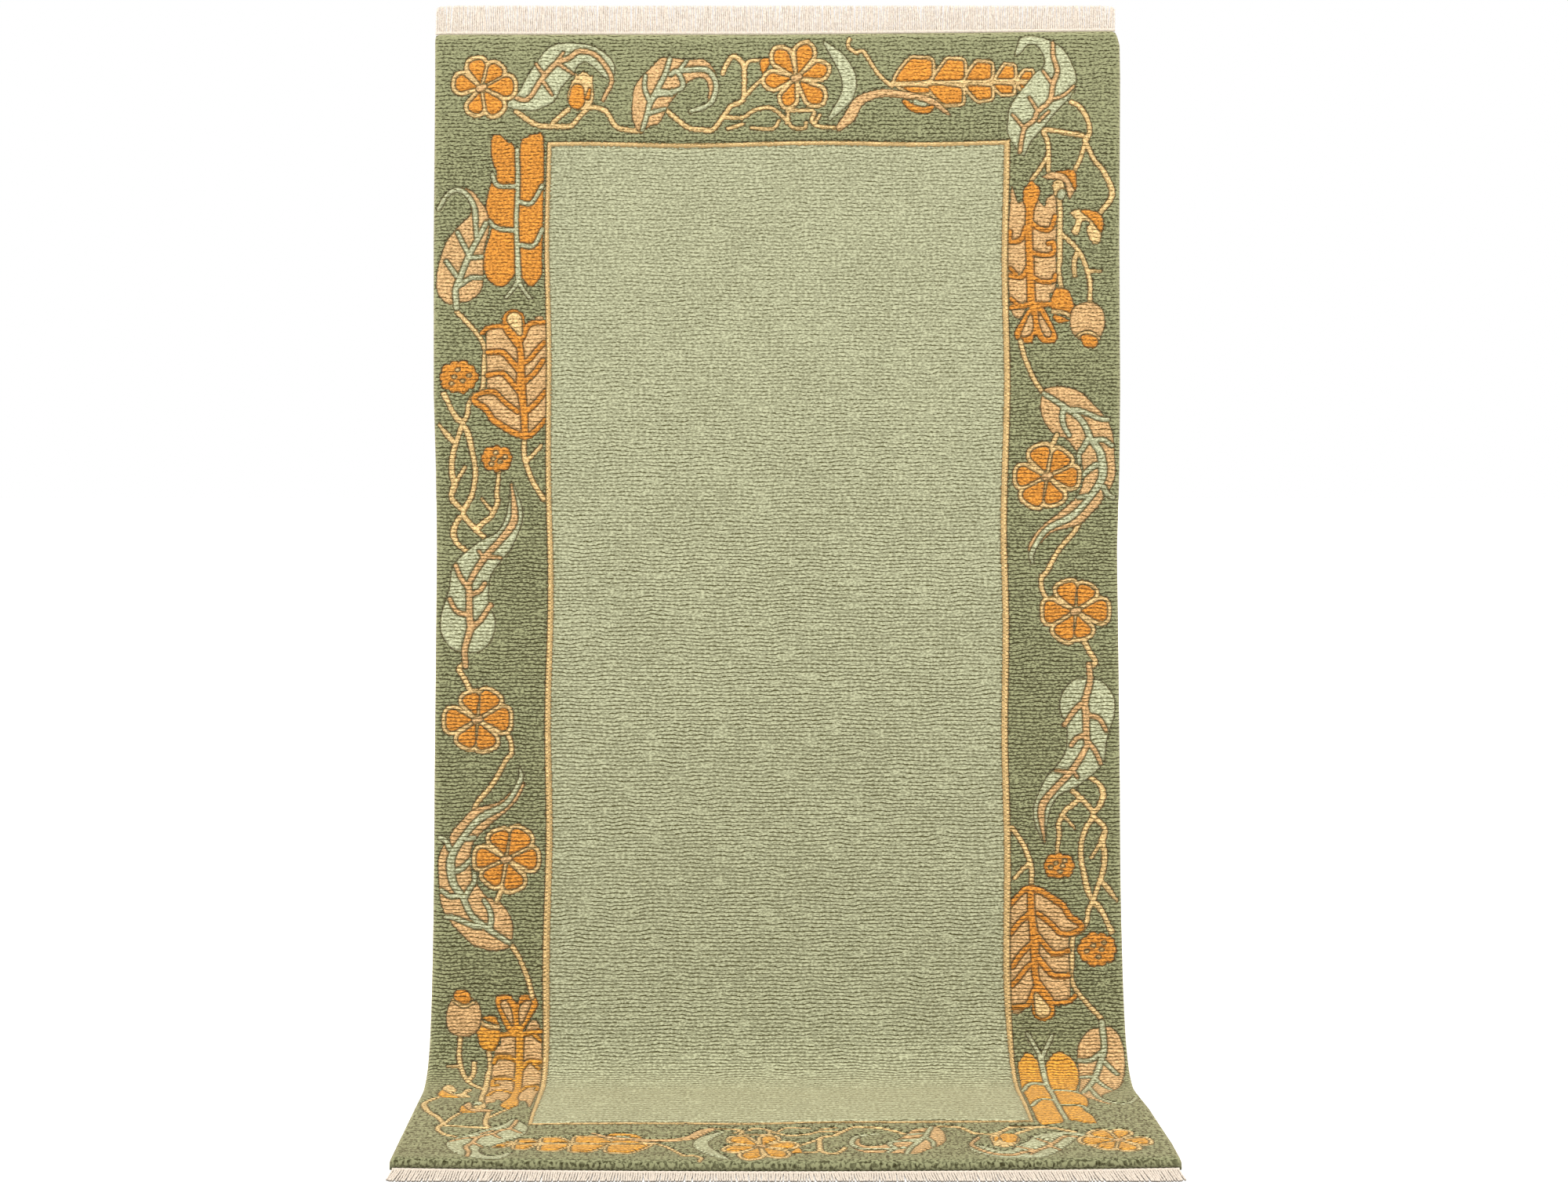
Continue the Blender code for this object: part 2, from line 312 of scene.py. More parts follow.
# Closed shapes and tapering lines in the order in which they cover each other, on the chart:
# wool, half widths from start to end (none for a closed shape), and for each shape or line that
# has them the places that it runs through, as x,y pairs
PATTERN = (
    # Rib of the ear, then vine, first leaf and bud of the head border
    (GOLD, (2.4,), (146,743, 240,744, 326,744)),
    (GOLD, (2.8,), (-334,710, -311,694, -293,690, -265,690, -255,700, -241,713, -223,711, -216,705,
     -206,690, -191,686, -174,685)),
    (GOLD, (2.6,), (-267,711, -287,694)),
    (MINT, (), (-346,717, -331,733, -321,751, -308,769, -296,785, -282,794, -256,795, -232,791, -212,775,
     -207,760, -216,749, -239,769, -252,769, -261,756, -276,739, -284,723, -299,714, -316,710)),
    (PEACH, (2.2, 2.7, 2.7, 2.4, 1.8), (-333,726, -319,725, -302,748, -284,768, -265,777, -253,785,
     -236,783, -223,772, -212,754, -212,742, -223,723)),
    (PEACH, (2.0, 1.4), (-284,768, -273,783), (-298,754, -308,768), (-299,746, -288,730), (-278,768,
     -261,757)),
    (GOLD, (16.5, 14.5, 9.0), (-252,727, -250,739, -247,749)),
    (GOLD, (4.5, 1.0), (-254,746, -257,756), (-247,748, -247,759), (-240,744, -236,753)),
    (ORANGE, (10.0, 8.0), (-257,722, -256,735)),
    (ORANGE, (3.0, 1.6), (-243,726, -240,736)),
    # Second leaf and the vine beyond it
    (GOLD, (2.8,), (-140,711, -127,700, -113,690, -96,687, -81,687, -65,708, -59,716, -45,722, -42,733,
     -42,760, -45,771, -56,778, -64,769, -69,757)),
    (GOLD, (2.2,), (-42,761, -36,772, -21,773), (-41,728, -24,745, -19,748)),
    (PEACH, (), (-176,684, -185,699, -185,720, -182,740, -174,752, -160,765, -145,778, -113,775, -94,775,
     -82,765, -76,751, -77,736, -82,719, -88,725, -88,740, -93,751, -104,752, -116,745, -134,723,
     -143,708, -150,696, -163,691)),
    (MINT, (2.4, 2.8, 2.8, 2.2), (-172,687, -165,711, -162,720, -150,742, -143,756, -137,777)),
    (MINT, (2.4, 2.0), (-163,723, -169,739, -168,754), (-161,721, -153,730, -134,731)),
    (MINT, (2.4, 2.4), (-150,735, -134,734, -120,742, -128,760, -136,756)),
    (MINT, (2.2, 1.8), (-125,762, -116,774)),
    (MINT, (2.4, 2.8, 2.8, 2.0), (-122,762, -96,763, -84,757, -78,742, -84,722, -97,714, -110,710)),
    (MINT, (2.2, 1.6), (-163,708, -143,713)),
    (ORANGE, (), (-21,774, -7,774, -18,756)),
    # Twigs below the middle flower, crescent and twig beside it
    (GOLD, (2.2,), (-65,702, -44,702, -29,711, -9,713, 8,700, 13,693)),
    (GOLD, (2.0,), (-62,688, -44,694), (-33,689, -6,687, 2,696)),
    (GOLD, (2.2,), (12,709, 46,708, 44,696, 51,689, 77,687)),
    (GOLD, (2.0,), (14,706, 14,696, 20,687, 34,686, 37,693)),
    (GOLD, (1.8,), (55,703, 48,693)),
    (MINT, (1.5, 7.0, 9.0, 7.5, 2.0), (61,795, 78,776, 91,750, 88,726, 67,699)),
    (GOLD, (2.2,), (93,799, 91,790, 100,782, 109,783, 121,765, 132,751, 146,740)),
    # Tan vine and pod below the ear
    (PEACH, (4.0, 7.0, 6.0, 4.4, 4.0, 3.8, 3.4, 1.6), (80,688, 93,702, 104,720, 124,730, 147,731, 178,726,
     198,720, 217,705)),
    (ORANGE, (3.0, 4.4, 4.4, 2.0), (162,720, 172,713, 190,711, 198,714)),
    (MINT, (2.6, 2.0), (175,720, 188,717)),
    # Corner leaf
    (GOLD, (2.8, 2.8, 2.8, 4.0), (374,717, 385,711, 395,694, 397,679, 392,670)),
    (GOLD, (2.8,), (388,676, 365,679, 340,681, 343,668, 345,648, 345,631)),
    (GOLD, (2.4,), (343,648, 334,634, 323,619)),
    (GOLD, (2.6,), (392,668, 386,648, 379,632)),
    (GOLD, (2.6, 3.0, 3.6, 3.0), (392,668, 403,646, 414,633, 424,614, 426,598, 413,579)),
    (MINT, (), (310,651, 293,676, 293,699, 299,717, 326,752, 340,762, 340,775, 331,789, 320,789, 310,779,
     303,777, 311,797, 326,801, 346,797, 365,783, 377,763, 381,742, 375,726, 355,705, 339,685, 323,668,
     316,654)),
    (PEACH, (2.2, 2.6, 2.8, 2.6, 1.8), (308,655, 314,684, 326,694, 331,705, 346,719, 351,739, 357,756,
     352,775, 352,792)),
    (PEACH, (2.0, 1.4), (314,684, 299,702), (331,705, 320,723), (333,693, 345,705), (348,720, 365,726,
     378,737), (350,741, 339,757)),
    # Two hooded flowers
    (PEACH, (), (337,623, 347,629, 355,630, 365,627, 373,619, 379,611, 379,605, 373,596, 369,606, 367,615,
     360,619, 349,620)),
    (ORANGE, (), (353,630, 374,632, 380,629, 382,612, 379,608, 372,620, 365,627)),
    (GOLD, (2.6, 3.2, 3.2, 2.8), (355,601, 360,592, 360,559, 361,521, 359,508, 363,484)),
    (GOLD, (7.4, 7.4), (358,612, 359,609)),
    (MINT, (4.6,), (363,603, 362,600)),
    (GOLD, (), (373,579, 389,582, 401,569, 412,557, 412,542, 403,540, 395,553, 395,560, 399,565, 389,567,
     384,551, 375,553, 380,566, 379,571)),
    (ORANGE, (), (386,581, 406,580, 415,572, 416,561, 412,554, 401,568)),
    # Lantern: panels, bud, stem and bars
    (PEACH, (), (327,586, 341,587, 343,596, 355,598, 356,551, 356,486, 349,476, 347,463, 325,463),
     (297,606, 306,592, 318,582, 318,461, 297,461)),
    (ORANGE, (3.0, 10.5, 9.0, 5.0, 4.4, 4.6, 4.6, 5.2), (323,615, 323.5,604, 322,595, 322,582, 322,551,
     323,520, 323,500, 325,462)),
    (ORANGE, (2.8,), (326,566, 335,559, 348,558, 354,574), (325,529, 339,525, 353,527, 353,540, 347,540),
     (326,497, 337,492, 352,492, 355,499), (328,462, 341,462, 349,463), (318,560, 312,545, 298,543,
     298,554), (320,509, 312,497, 298,498)),
    (ORANGE, (2.2,), (299,508, 306,500)),
    (ORANGE, (2.8,), (320,461, 298,459)),
    (ORANGE, (2.2,), (298,470, 306,463)),
    (ORANGE, (), (355,482, 362,484, 372,480, 377,467, 380,447, 364,451, 351,455, 349,466), (352,450,
     371,443, 366,440, 355,440)),
    (GOLD, (2.2,), (351,453, 364,452, 378,445)),
    # Tulip below the lantern
    (ORANGE, (), (325,462, 304,432, 302,422, 308,415, 323,414, 327,424, 331,421, 338,414, 353,415,
     356,422, 353,431, 341,456, 334,462)),
    (PEACH, (), (323,450, 326,436, 323,426, 315,421, 310,425), (333,452, 339,444, 349,426, 342,421,
     335,434)),
    # Bulb on its twig
    (GOLD, (2.6, 2.6, 2.8), (360,553, 366,548, 384,531, 394,510, 399,490, 399,465)),
    (GOLD, (2.8,), (383,530, 379,517, 380,500)),
    (GOLD, (2.2, 1.6), (396,505, 412,505)),
    (PEACH, (), (373,445, 377,457, 389,465, 405,464, 415,456, 418,439, 413,423, 402,414, 388,415, 377,424,
     373,434)),
    (GOLD, (2.0,), (383,423, 396,427, 409,419)),
    (ORANGE, (), (386,422, 397,424, 408,417, 404,407, 390,409)),
    (GOLD, (2.8,), (309,416, 316,390, 326,367, 338,349)),
    # Long peach leaf
    (GOLD, (2.8,), (388,187, 382,173, 360,148, 345,121, 339,114, 339,99, 345,86)),
    (PEACH, (), (337,352, 345,357, 360,358, 379,354, 391,347, 417,320, 425,305, 429,288, 431,251, 429,238,
     424,225, 416,226, 417,214, 402,196, 387,182, 355,173, 340,161, 326,148, 322,153, 331,171, 345,185,
     363,198, 384,219, 391,240, 389,256, 382,274, 369,291, 353,296, 340,312, 335,329, 335,343)),
    (MINT, (2.2, 3.0, 3.0, 3.4, 4.4, 5.0, 4.2, 3.2, 3.8, 2.8, 2.6, 0.8), (338,349, 365,332, 388,314,
     400,291, 411,275, 415,256, 413,237, 397,213, 377,192, 345,175, 327,146, 328,132)),
    (MINT, (3.0, 2.4), (364,331, 363,318, 366,306, 372,296), (374,328, 385,327, 401,321, 411,317,
     421,316)),
    (MINT, (3.0, 2.2), (397,293, 390,281, 384,272, 385,262), (404,290, 415,291, 427,283)),
    (MINT, (3.2, 2.6), (407,258, 399,253, 390,244)),
    (MINT, (2.8, 2.4), (417,230, 423,220, 430,217)),
    (MINT, (2.4, 2.0), (401,219, 385,217)),
    (GOLD, (3.0,), (356,296, 348,278)),
    (GOLD, (3.2,), (391,38, 399,21, 407,7, 400,-1, 400,-19)),
    # Long mint leaf
    (GOLD, (2.8, 3.2, 4.0, 3.0, 3.0), (398,-139, 410,-149, 415,-162, 409,-178, 402,-184)),
    (MINT, (), (394,-14, 381,-15, 369,-25, 363,-37, 361,-50, 363,-61, 369,-71, 370,-90, 367,-110,
     354,-128, 341,-142, 330,-166, 326,-184, 329,-203, 339,-225, 343,-200, 348,-178, 360,-161, 382,-151,
     406,-132, 417,-116, 421,-91, 430,-62, 431,-45, 427,-33, 417,-20, 404,-14)),
    (PEACH, (3.2, 3.4, 3.8, 4.2, 3.8, 3.6), (398,3, 399,-17, 395,-33, 392,-45, 394,-60, 395,-81,
     396,-98)),
    (PEACH, (3.0, 3.4, 3.4, 3.4, 4.2, 3.6, 0.8), (394,-101, 384,-119, 373,-134, 355,-152, 339,-172,
     336,-190, 339,-221)),
    (PEACH, (3.0, 2.6), (390,-44, 379,-54, 367,-72)),
    (PEACH, (2.8, 2.2), (397,-60, 408,-63, 414,-68, 420,-80)),
    (PEACH, (2.8, 2.4), (394,-85, 382,-90, 375,-99), (397,-94, 406,-106, 412,-121)),
    (PEACH, (2.2, 1.6), (371,-132, 355,-131), (376,-128, 383,-139)),
    # Twigs with berries
    (GOLD, (3.0,), (376,-157, 385,-166, 400,-181, 402,-189)),
    (GOLD, (3.4, 3.2, 2.8, 2.8, 2.2), (386,-166, 374,-176, 365,-183, 357,-200, 358,-211, 355,-238)),
    (GOLD, (2.2, 1.6), (365,-190, 377,-204)),
    (GOLD, (3.2, 3.0, 3.0, 3.0, 4.0, 2.4), (402,-189, 389,-211, 386,-237, 389,-259, 394,-281, 401,-297)),
    (GOLD, (2.8, 3.2, 4.4, 3.4, 3.4, 2.6), (402,-189, 417,-205, 413,-221, 416,-237, 413,-261, 401,-297)),
    (GOLD, (2.6, 2.0), (412,-222, 399,-242)),
    (GOLD, (2.4, 3.4, 1.4), (411,-269, 421,-281, 431,-295)),
    (GOLD, (3.0,), (298,-203, 311,-224, 319,-244, 322,-259, 322,-281)),
    (GOLD, (2.6, 2.0), (319,-249, 308,-259, 300,-268)),
    (GOLD, (2.8,), (400,-297, 394,-309, 392,-321, 385,-334, 375,-341, 373,-375, 372,-393, 379,-410,
     392,-426, 407,-442)),
    (GOLD, (2.8, 4.0, 3.0, 3.2, 4.0), (400,-297, 407,-302, 414,-313, 419,-325, 423,-334)),
    # Palmette: panels, shoulders, stem and paired ribs, drop
    (PEACH, (), (320,-281, 336,-286, 351,-297, 383,-328, 370,-342, 369,-420, 345,-423, 330,-408, 316,-427,
     295,-428, 295,-304)),
    (ORANGE, (4.0, 2.8), (321,-280, 311,-284, 294,-303)),
    (ORANGE, (4.0, 3.0), (321,-280, 335,-285, 351,-295, 362,-302, 371,-315, 384,-325, 384,-332, 372,-337,
     359,-336, 348,-325, 331,-312)),
    (ORANGE, (4.0, 4.4, 5.4, 4.4, 4.0, 4.0), (321,-282, 323,-314, 326,-346, 326,-369, 327,-386,
     330,-406)),
    (ORANGE, (3.6, 3.0), (329,-339, 343,-356, 352,-362, 369,-359)),
    (ORANGE, (3.6, 3.4), (329,-366, 343,-382, 351,-389, 368,-389)),
    (ORANGE, (3.4, 2.6), (331,-398, 343,-415, 349,-423, 367,-422, 376,-415)),
    (ORANGE, (3.4, 3.0), (320,-312, 307,-324, 296,-338), (324,-349, 309,-362, 298,-378)),
    (ORANGE, (3.2, 3.0), (325,-374, 316,-379, 306,-392, 297,-402)),
    (ORANGE, (3.2, 2.8), (325,-408, 315,-426, 296,-429)),
    (ORANGE, (4.0, 14.5), (328,-404, 335,-431)),
    (GOLD, (3.0, 9.5), (328,-414, 334,-432)),
    # Paired orange lobes with a mint stem, at the head of the left side
    (ORANGE, (), (-365,678, -355,681, -344,672, -334,660, -331,580, -331,512, -338,494, -350,485,
     -364,491, -372,508, -371,531, -363,560, -370,576, -366,612, -357,630, -364,651), (-328,665, -319,678,
     -308,681, -299,675, -297,600, -297,512, -302,495, -312,486, -321,493, -327,510, -328,580)),
    (MINT, (2.4, 2.4, 3.4), (-331,662, -330,560, -328,492)),
    (MINT, (2.3,), (-362,630, -355,616, -331,614), (-368,571, -356,560, -331,556), (-328,594, -312,592,
     -299,614), (-328,539, -308,537, -297,558)),
    (MINT, (2.4, 2.0), (-329,493, -344,465), (-329,493, -314,462)),
    # Broad peach leaf beside them
    (PEACH, (), (-419,453, -404,454, -389,458, -374,483, -372,531, -366,560, -369,583, -376,595, -387,608,
     -402,613, -392,600, -389,580, -403,565, -419,544, -428,522, -433,496, -431,471)),
    (MINT, (2.8, 2.5, 2.2), (-383,570, -385,590, -397,606, -410,610, -422,601, -431,585)),
    (MINT, (3.2, 3.4, 3.0, 2.6), (-407,447, -408,480, -403,496, -394,519, -383,540, -370,566)),
    (MINT, (2.6, 2.2), (-408,499, -421,517), (-393,528, -406,555)),
    (MINT, (2.4, 2.0), (-382,549, -384,571), (-393,521, -374,523)),
    (MINT, (2.6, 2.2), (-405,485, -389,496, -374,496)),
)

# Ear: start, end and height above or below the rib of each grain, and the outline they share
EAR_RIB = 743
EAR_GRAINS = (
    (149, 199, -16), (146, 202, 36), (188, 240, -30), (195, 243, 33), (236, 277, -25),
    (236, 277, 29), (270, 304, -19), (275, 306, 25), (302, 325, -17), (303, 329, 18),
)
GRAIN = ((0.0, 0.0), (0.36, 0.92), (0.66, 1.0), (0.93, 0.93), (1.0, 0.6), (0.88, 0.04))
GRAIN_RIM = 4.4

# Berries: middle, half width, half height, grains round the rim. The seeds follow a spiral.
BERRIES = (((358, -252), 20, 16, 8), ((405, -357), 24, 21, 10))
BERRY_GRAIN = 6.4
BERRY_SEEDS = 5
SEED_TURN = 0.381
SEED_SPREAD = 0.62
SEED_HALF = 1.9
SEED_LENGTH = 1.5


def srgb(colour):
    """Linear colour from one as the eye sees it."""
    shares = np.array(colour) / 255
    linear = np.where(shares <= 0.04045, shares / 12.92, ((shares + 0.055) / 1.055) ** 2.4)
    return (*linear.tolist(), 1.0)


def fold_path():
    """Place of the mid layer at each small step of the run below the rug's middle."""
    runs = np.arange(0.0, PATH_LENGTH, PATH_STEP)
    table = np.array(FOLD_ROWS)
    turns = np.radians(np.interp(runs, table[:, 0], table[:, 1]))
    middle = (turns[1:] + turns[:-1]) / 2
    y = np.concatenate(([0.0], np.cumsum(-np.sin(middle) * PATH_STEP)))
    z = np.concatenate(([0.0], np.cumsum(-np.cos(middle) * PATH_STEP)))
    return runs, turns, y, z - z[-1] + THICKNESS / 2


PATH = fold_path()
RUG_LOW, RUG_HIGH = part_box("pile_rug")
SHIFT = ((RUG_LOW[0] + RUG_HIGH[0]) / 2, RUG_HIGH[1] - THICKNESS / 2, RUG_LOW[2])


def folded(u, v, w):
    """Places in the room of flat points, as one array."""
    runs, turns, path_y, path_z = PATH
    turn = np.interp(-v, runs, turns)
    y = np.interp(-v, runs, path_y)
    z = np.interp(-v, runs, path_z) + np.maximum(v, 0.0)
    height = w - THICKNESS / 2
    places = (u + SHIFT[0], y - height * np.cos(turn) + SHIFT[1], z + height * np.sin(turn) + SHIFT[2])
    return np.stack(places, axis=-1)


def end_drift(u, v):
    """How far the rug's uneven ends carry flat points along it: up at the head, out at the foot."""
    share = np.clip((np.abs(v) - ENDS_START) / (HALF_LENGTH - ENDS_START), 0.0, 1.0)
    climb = HEAD_CLIMB * np.maximum(u, 0.0) / HALF_WIDTH
    bow = FOOT_BOW * (1.0 - (u / HALF_WIDTH) ** 2)
    return share * np.where(v > 0.0, climb, -bow)


def outlined(u, v):
    """Flat points with the corners rounded and the edges as uneven as the rug's own."""
    beside = np.abs(u) - (HALF_WIDTH - RIM)
    beyond = np.abs(v) - (HALF_LENGTH - RIM)
    corner = (beside > 0.0) & (beyond > 0.0)
    pull = np.abs(np.maximum(beside, beyond)) / np.maximum(np.hypot(beside, beyond), TINY)
    pull = pull ** CORNER_ROUNDNESS
    u = np.where(corner, np.copysign(HALF_WIDTH - RIM + beside * pull, u), u)
    v = np.where(corner, np.copysign(HALF_LENGTH - RIM + beyond * pull, v), v)
    rows = np.array(sorted(EDGE_ROWS))
    left = np.interp(v, rows[:, 0], rows[:, 1])
    right = np.interp(v, rows[:, 0], rows[:, 2])
    across = u * np.where(u < 0.0, left, right) / HALF_WIDTH
    return across, v + end_drift(across, v)


def waver(u, v):
    """The inner line strays and slants a little as it runs, and the pile with it."""
    near_column = np.maximum(1.0 - np.abs(np.abs(u) - LINE_U) / (HALF_WIDTH - LINE_U), 0.0)
    line = np.where(v > 0.0, LINE_HEAD, LINE_FOOT)
    tilt = np.where(v > 0.0, HEAD_TILT, FOOT_TILT)
    near_row = np.maximum(1.0 - np.abs(np.abs(v) - line) / (HALF_LENGTH - line), 0.0)
    along_v = LINE_WAVER * np.sin(math.tau * v / WAVER_LENGTH + u)
    along_u = LINE_WAVER * np.sin(math.tau * u / WAVER_LENGTH + v) + tilt * u
    return u + along_v * near_column, v + along_u * near_row


def past_line(u, v):
    """How far flat points lie outside the inner line, or less than nothing inside it."""
    return np.maximum(np.abs(u) - LINE_U, np.maximum(v - LINE_HEAD, -v - LINE_FOOT))


def rim_height(u, v):
    """Height of the pile, which is rounded off along its edges."""
    inset = np.minimum(HALF_WIDTH - np.abs(u), HALF_LENGTH - np.abs(v))
    fall = np.clip(1.0 - inset / RIM, 0.0, 1.0)
    return EDGE_HEIGHT + (THICKNESS - EDGE_HEIGHT) * np.sqrt(1.0 - fall * fall)


def patches(u, v, length_u, length_v, seed):
    """Smooth random patches of the given size, from 0 to 1."""
    draw = np.random.default_rng(seed)
    across = (u + HALF_WIDTH * PATCH_MARGIN) / length_u
    along = (v + HALF_LENGTH * PATCH_MARGIN) / length_v
    lattice = draw.random((int(along.max()) + 2, int(across.max()) + 2))
    i, j = along.astype(int), across.astype(int)
    s, t = along - i, across - j
    s, t = s * s * (3 - 2 * s), t * t * (3 - 2 * t)
    low = lattice[i, j] * (1 - t) + lattice[i, j + 1] * t
    high = lattice[i + 1, j] * (1 - t) + lattice[i + 1, j + 1] * t
    return low * (1 - s) + high * s


def smooth_curve(points, closed):
    """Points along the smooth curve through the given ones, with the share of the way of each."""
    places = np.reshape(points, (-1, 2)).astype(float)
    spans = len(places) if closed else len(places) - 1
    end = places[:1] if closed else places[-1:]
    if closed:
        before, after, last = np.roll(places, 1, 0), np.roll(places, -1, 0), np.roll(places, -2, 0)
    else:
        padded = np.vstack((2 * places[0] - places[1], places, 2 * places[-1] - places[-2]))
        before, places, after, last = padded[:-3], padded[1:-2], padded[2:-1], padded[3:]
    t = np.arange(CURVE_STEPS)[:, None, None] / CURVE_STEPS
    curve = 0.5 * (
        2 * places + (after - before) * t + (2 * before - 5 * places + 4 * after - last) * t ** 2
        + (3 * places - before - 3 * after + last) * t ** 3
    )
    curve = np.vstack((curve.transpose(1, 0, 2).reshape(-1, 2), end))
    return curve, np.linspace(0.0, 1.0, spans * CURVE_STEPS + 1)


def distance_to_line(a, b, curve, widths):
    """Distance from each chart point to a tapering line, less than nothing inside it."""
    best = np.full(a.shape, np.inf)
    for (x0, y0), (x1, y1), r0, r1 in zip(curve[:-1], curve[1:], widths[:-1], widths[1:]):
        dx, dy = x1 - x0, y1 - y0
        share = np.clip(((a - x0) * dx + (b - y0) * dy) / max(dx * dx + dy * dy, TINY), 0.0, 1.0)
        gap = np.hypot(a - x0 - share * dx, b - y0 - share * dy)
        best = np.minimum(best, gap - (r0 + (r1 - r0) * share))
    return best


def inside(a, b, curve):
    """Whether each chart point lies inside a closed curve."""
    within = np.zeros(a.shape, dtype=bool)
    for (x0, y0), (x1, y1) in zip(curve[:-1], curve[1:]):
        if y0 != y1:
            crosses = (y0 > b) != (y1 > b)
            within ^= crosses & (a < (x1 - x0) * (b - y0) / (y1 - y0) + x0)
    return within


class Chart:
    """The border's wools over the flat grid: for each, the distance to its edge."""

    def __init__(self, u, v):
        stretched = (-HALF_LENGTH, -LINE_FOOT, -CHART_STRETCH, CHART_STRETCH, LINE_HEAD, HALF_LENGTH)
        drawn = (-HALF_LENGTH, -CHART_LINE, -CHART_STRETCH, CHART_STRETCH, CHART_LINE, HALF_LENGTH)
        self.a = u / CHART
        self.b = np.interp(v, stretched, drawn) / CHART
        self.b = np.where(u < 0.0, np.interp(self.b, LEFT_PLACES, LEFT_DRAWN), self.b)
        strays = []
        for place, other in ((self.a, self.b), (self.b, self.a)):
            stray = np.zeros_like(place)
            for along, across in WANDER_PITCHES:
                stray += np.sin(place / along + 2 * np.sin(other / across)) * WANDER / 2
            strays.append(stray)
        self.a, self.b = self.a + strays[0], self.b + strays[1]
        self.reach = REACH / CHART
        self.wools = [np.full(u.shape, self.reach) for _ in (GOLD, ORANGE, PEACH, MINT)]

    def cover(self, wool, window, distance):
        """Lays one wool over the others inside its edge."""
        for other, held in enumerate(self.wools):
            if other == wool:
                held[window] = np.minimum(held[window], distance)
            else:
                held[window] = np.maximum(held[window], -distance)

    def window(self, low, high):
        """The part of the grid between two corners on the chart, or nothing."""
        highest = np.maximum(self.b[:, 0], self.b[:, -1]) + 2 * WANDER
        lowest = np.minimum(self.b[:, 0], self.b[:, -1]) - 2 * WANDER
        rows = np.flatnonzero((highest > low[1]) & (lowest < high[1]))
        columns = np.flatnonzero((self.a[0] > low[0] - 2 * WANDER) & (self.a[0] < high[0] + 2 * WANDER))
        if len(rows) and len(columns):
            return slice(rows[0], rows[-1] + 1), slice(columns[0], columns[-1] + 1)
        return None

    def paint(self, wool, widths, points, inset=0.0):
        """Paints one line or shape, and its copy turned half round the rug's middle."""
        closed = not widths
        curve, shares = smooth_curve(points, closed)
        if closed:
            halves = np.zeros(len(curve))
        else:
            swell = VEIN_SWELL if wool in (PEACH, MINT) else VINE_SWELL
            stations = np.linspace(0.0, 1.0, len(widths))
            halves = np.interp(shares, stations, widths) + swell
        margin = self.reach + max(halves)
        for turned in (curve, -curve):
            window = self.window(turned.min(axis=0) - margin, turned.max(axis=0) + margin)
            if window is None:
                continue
            a, b = self.a[window], self.b[window]
            distance = distance_to_line(a, b, turned, halves)
            if closed:
                distance = np.where(inside(a, b, turned), -distance, distance) + inset
            self.cover(wool, window, distance)

    def flower(self, centre, blunt, petals):
        """Six petals with light rims that touch, and a small tan heart."""
        x, y = centre
        outlines = []
        for direction, reach in petals:
            turn = math.radians(direction)
            cos, sin = math.cos(turn) * reach, math.sin(turn) * reach
            half = [(out, pointed + (full - pointed) * blunt) for out, pointed, full in PETAL]
            ring = half + [(out, -side) for out, side in reversed(half)]
            outlines.append([(x + out * cos - side * sin, y + out * sin + side * cos)
                             for out, side in ring])
        for wool, inset in ((GOLD, -PETAL_RIM / 2), (ORANGE, PETAL_RIM / 2)):
            for outline in outlines:
                self.paint(wool, (), outline, inset)
        reach_x, reach_y = HEART_REACH
        self.paint(PEACH, (HEART_HALF,), (x + reach_x, y + reach_y, x - reach_x, y - reach_y))

    def ear(self):
        """Grains in two rows along a rib, each with a light rim, smaller towards the tip."""
        for wool, inset in ((GOLD, 0.0), (ORANGE, GRAIN_RIM)):
            for start, end, height in EAR_GRAINS:
                outline = [(start + (end - start) * along, EAR_RIB + height * up) for along, up in GRAIN]
                self.paint(wool, (), outline, inset)

    def berry(self, centre, across, up, grains):
        """A cluster of round grains with pale seeds between them."""
        x, y = centre
        for number in range(grains):
            way = math.tau * number / grains
            place = (x + (across - BERRY_GRAIN) * math.cos(way), y + (up - BERRY_GRAIN) * math.sin(way))
            self.paint(ORANGE, (BERRY_GRAIN + number % 2,), (place, centre))
        for number in range(BERRY_SEEDS):
            way = math.tau * number * SEED_TURN
            reach = SEED_SPREAD * math.sqrt((number + 0.5) / BERRY_SEEDS)
            seed_x, seed_y = x + across * reach * math.cos(way), y + up * reach * math.sin(way)
            self.paint(GOLD, (SEED_HALF,), (seed_x, seed_y, seed_x + SEED_LENGTH, seed_y))

    def inner_line(self, u, v):
        """The gold line lies over all that meets it."""
        across = past_line(u, v)
        beside = np.abs(u) - LINE_U >= across - TINY
        left, right = np.interp(v, LINE_ROWS, LINE_LEFT), np.interp(v, LINE_ROWS, LINE_RIGHT)
        side_half = np.where(u < 0.0, left, right)
        end_half = np.where(v < 0.0, LINE_FOOT_HALF, LINE_HEAD_HALF)
        half = np.where(beside, side_half, end_half)
        self.cover(GOLD, (slice(None), slice(None)), (np.abs(across) - half) / CHART)
        return across


def draw_chart(u, v):
    """Distances to the edge of each wool and to the inner line, over a flat grid."""
    chart = Chart(u, v)
    chart.ear()
    for wool, widths, *lines in PATTERN:
        for points in lines:
            chart.paint(wool, widths, points)
    for flower in FLOWERS:
        chart.flower(*flower)
    for berry in BERRIES:
        chart.berry(*berry)
    across = chart.inner_line(u, v)
    wools = [np.clip(held * CHART, -REACH, REACH) for held in chart.wools]
    return wools, across


def linked(name, data, material=None):
    """A new object in the scene that shows the given data."""
    item = bpy.data.objects.new(name, data)
    bpy.context.scene.collection.objects.link(item)
    if material:
        data.materials.append(material)
    return item


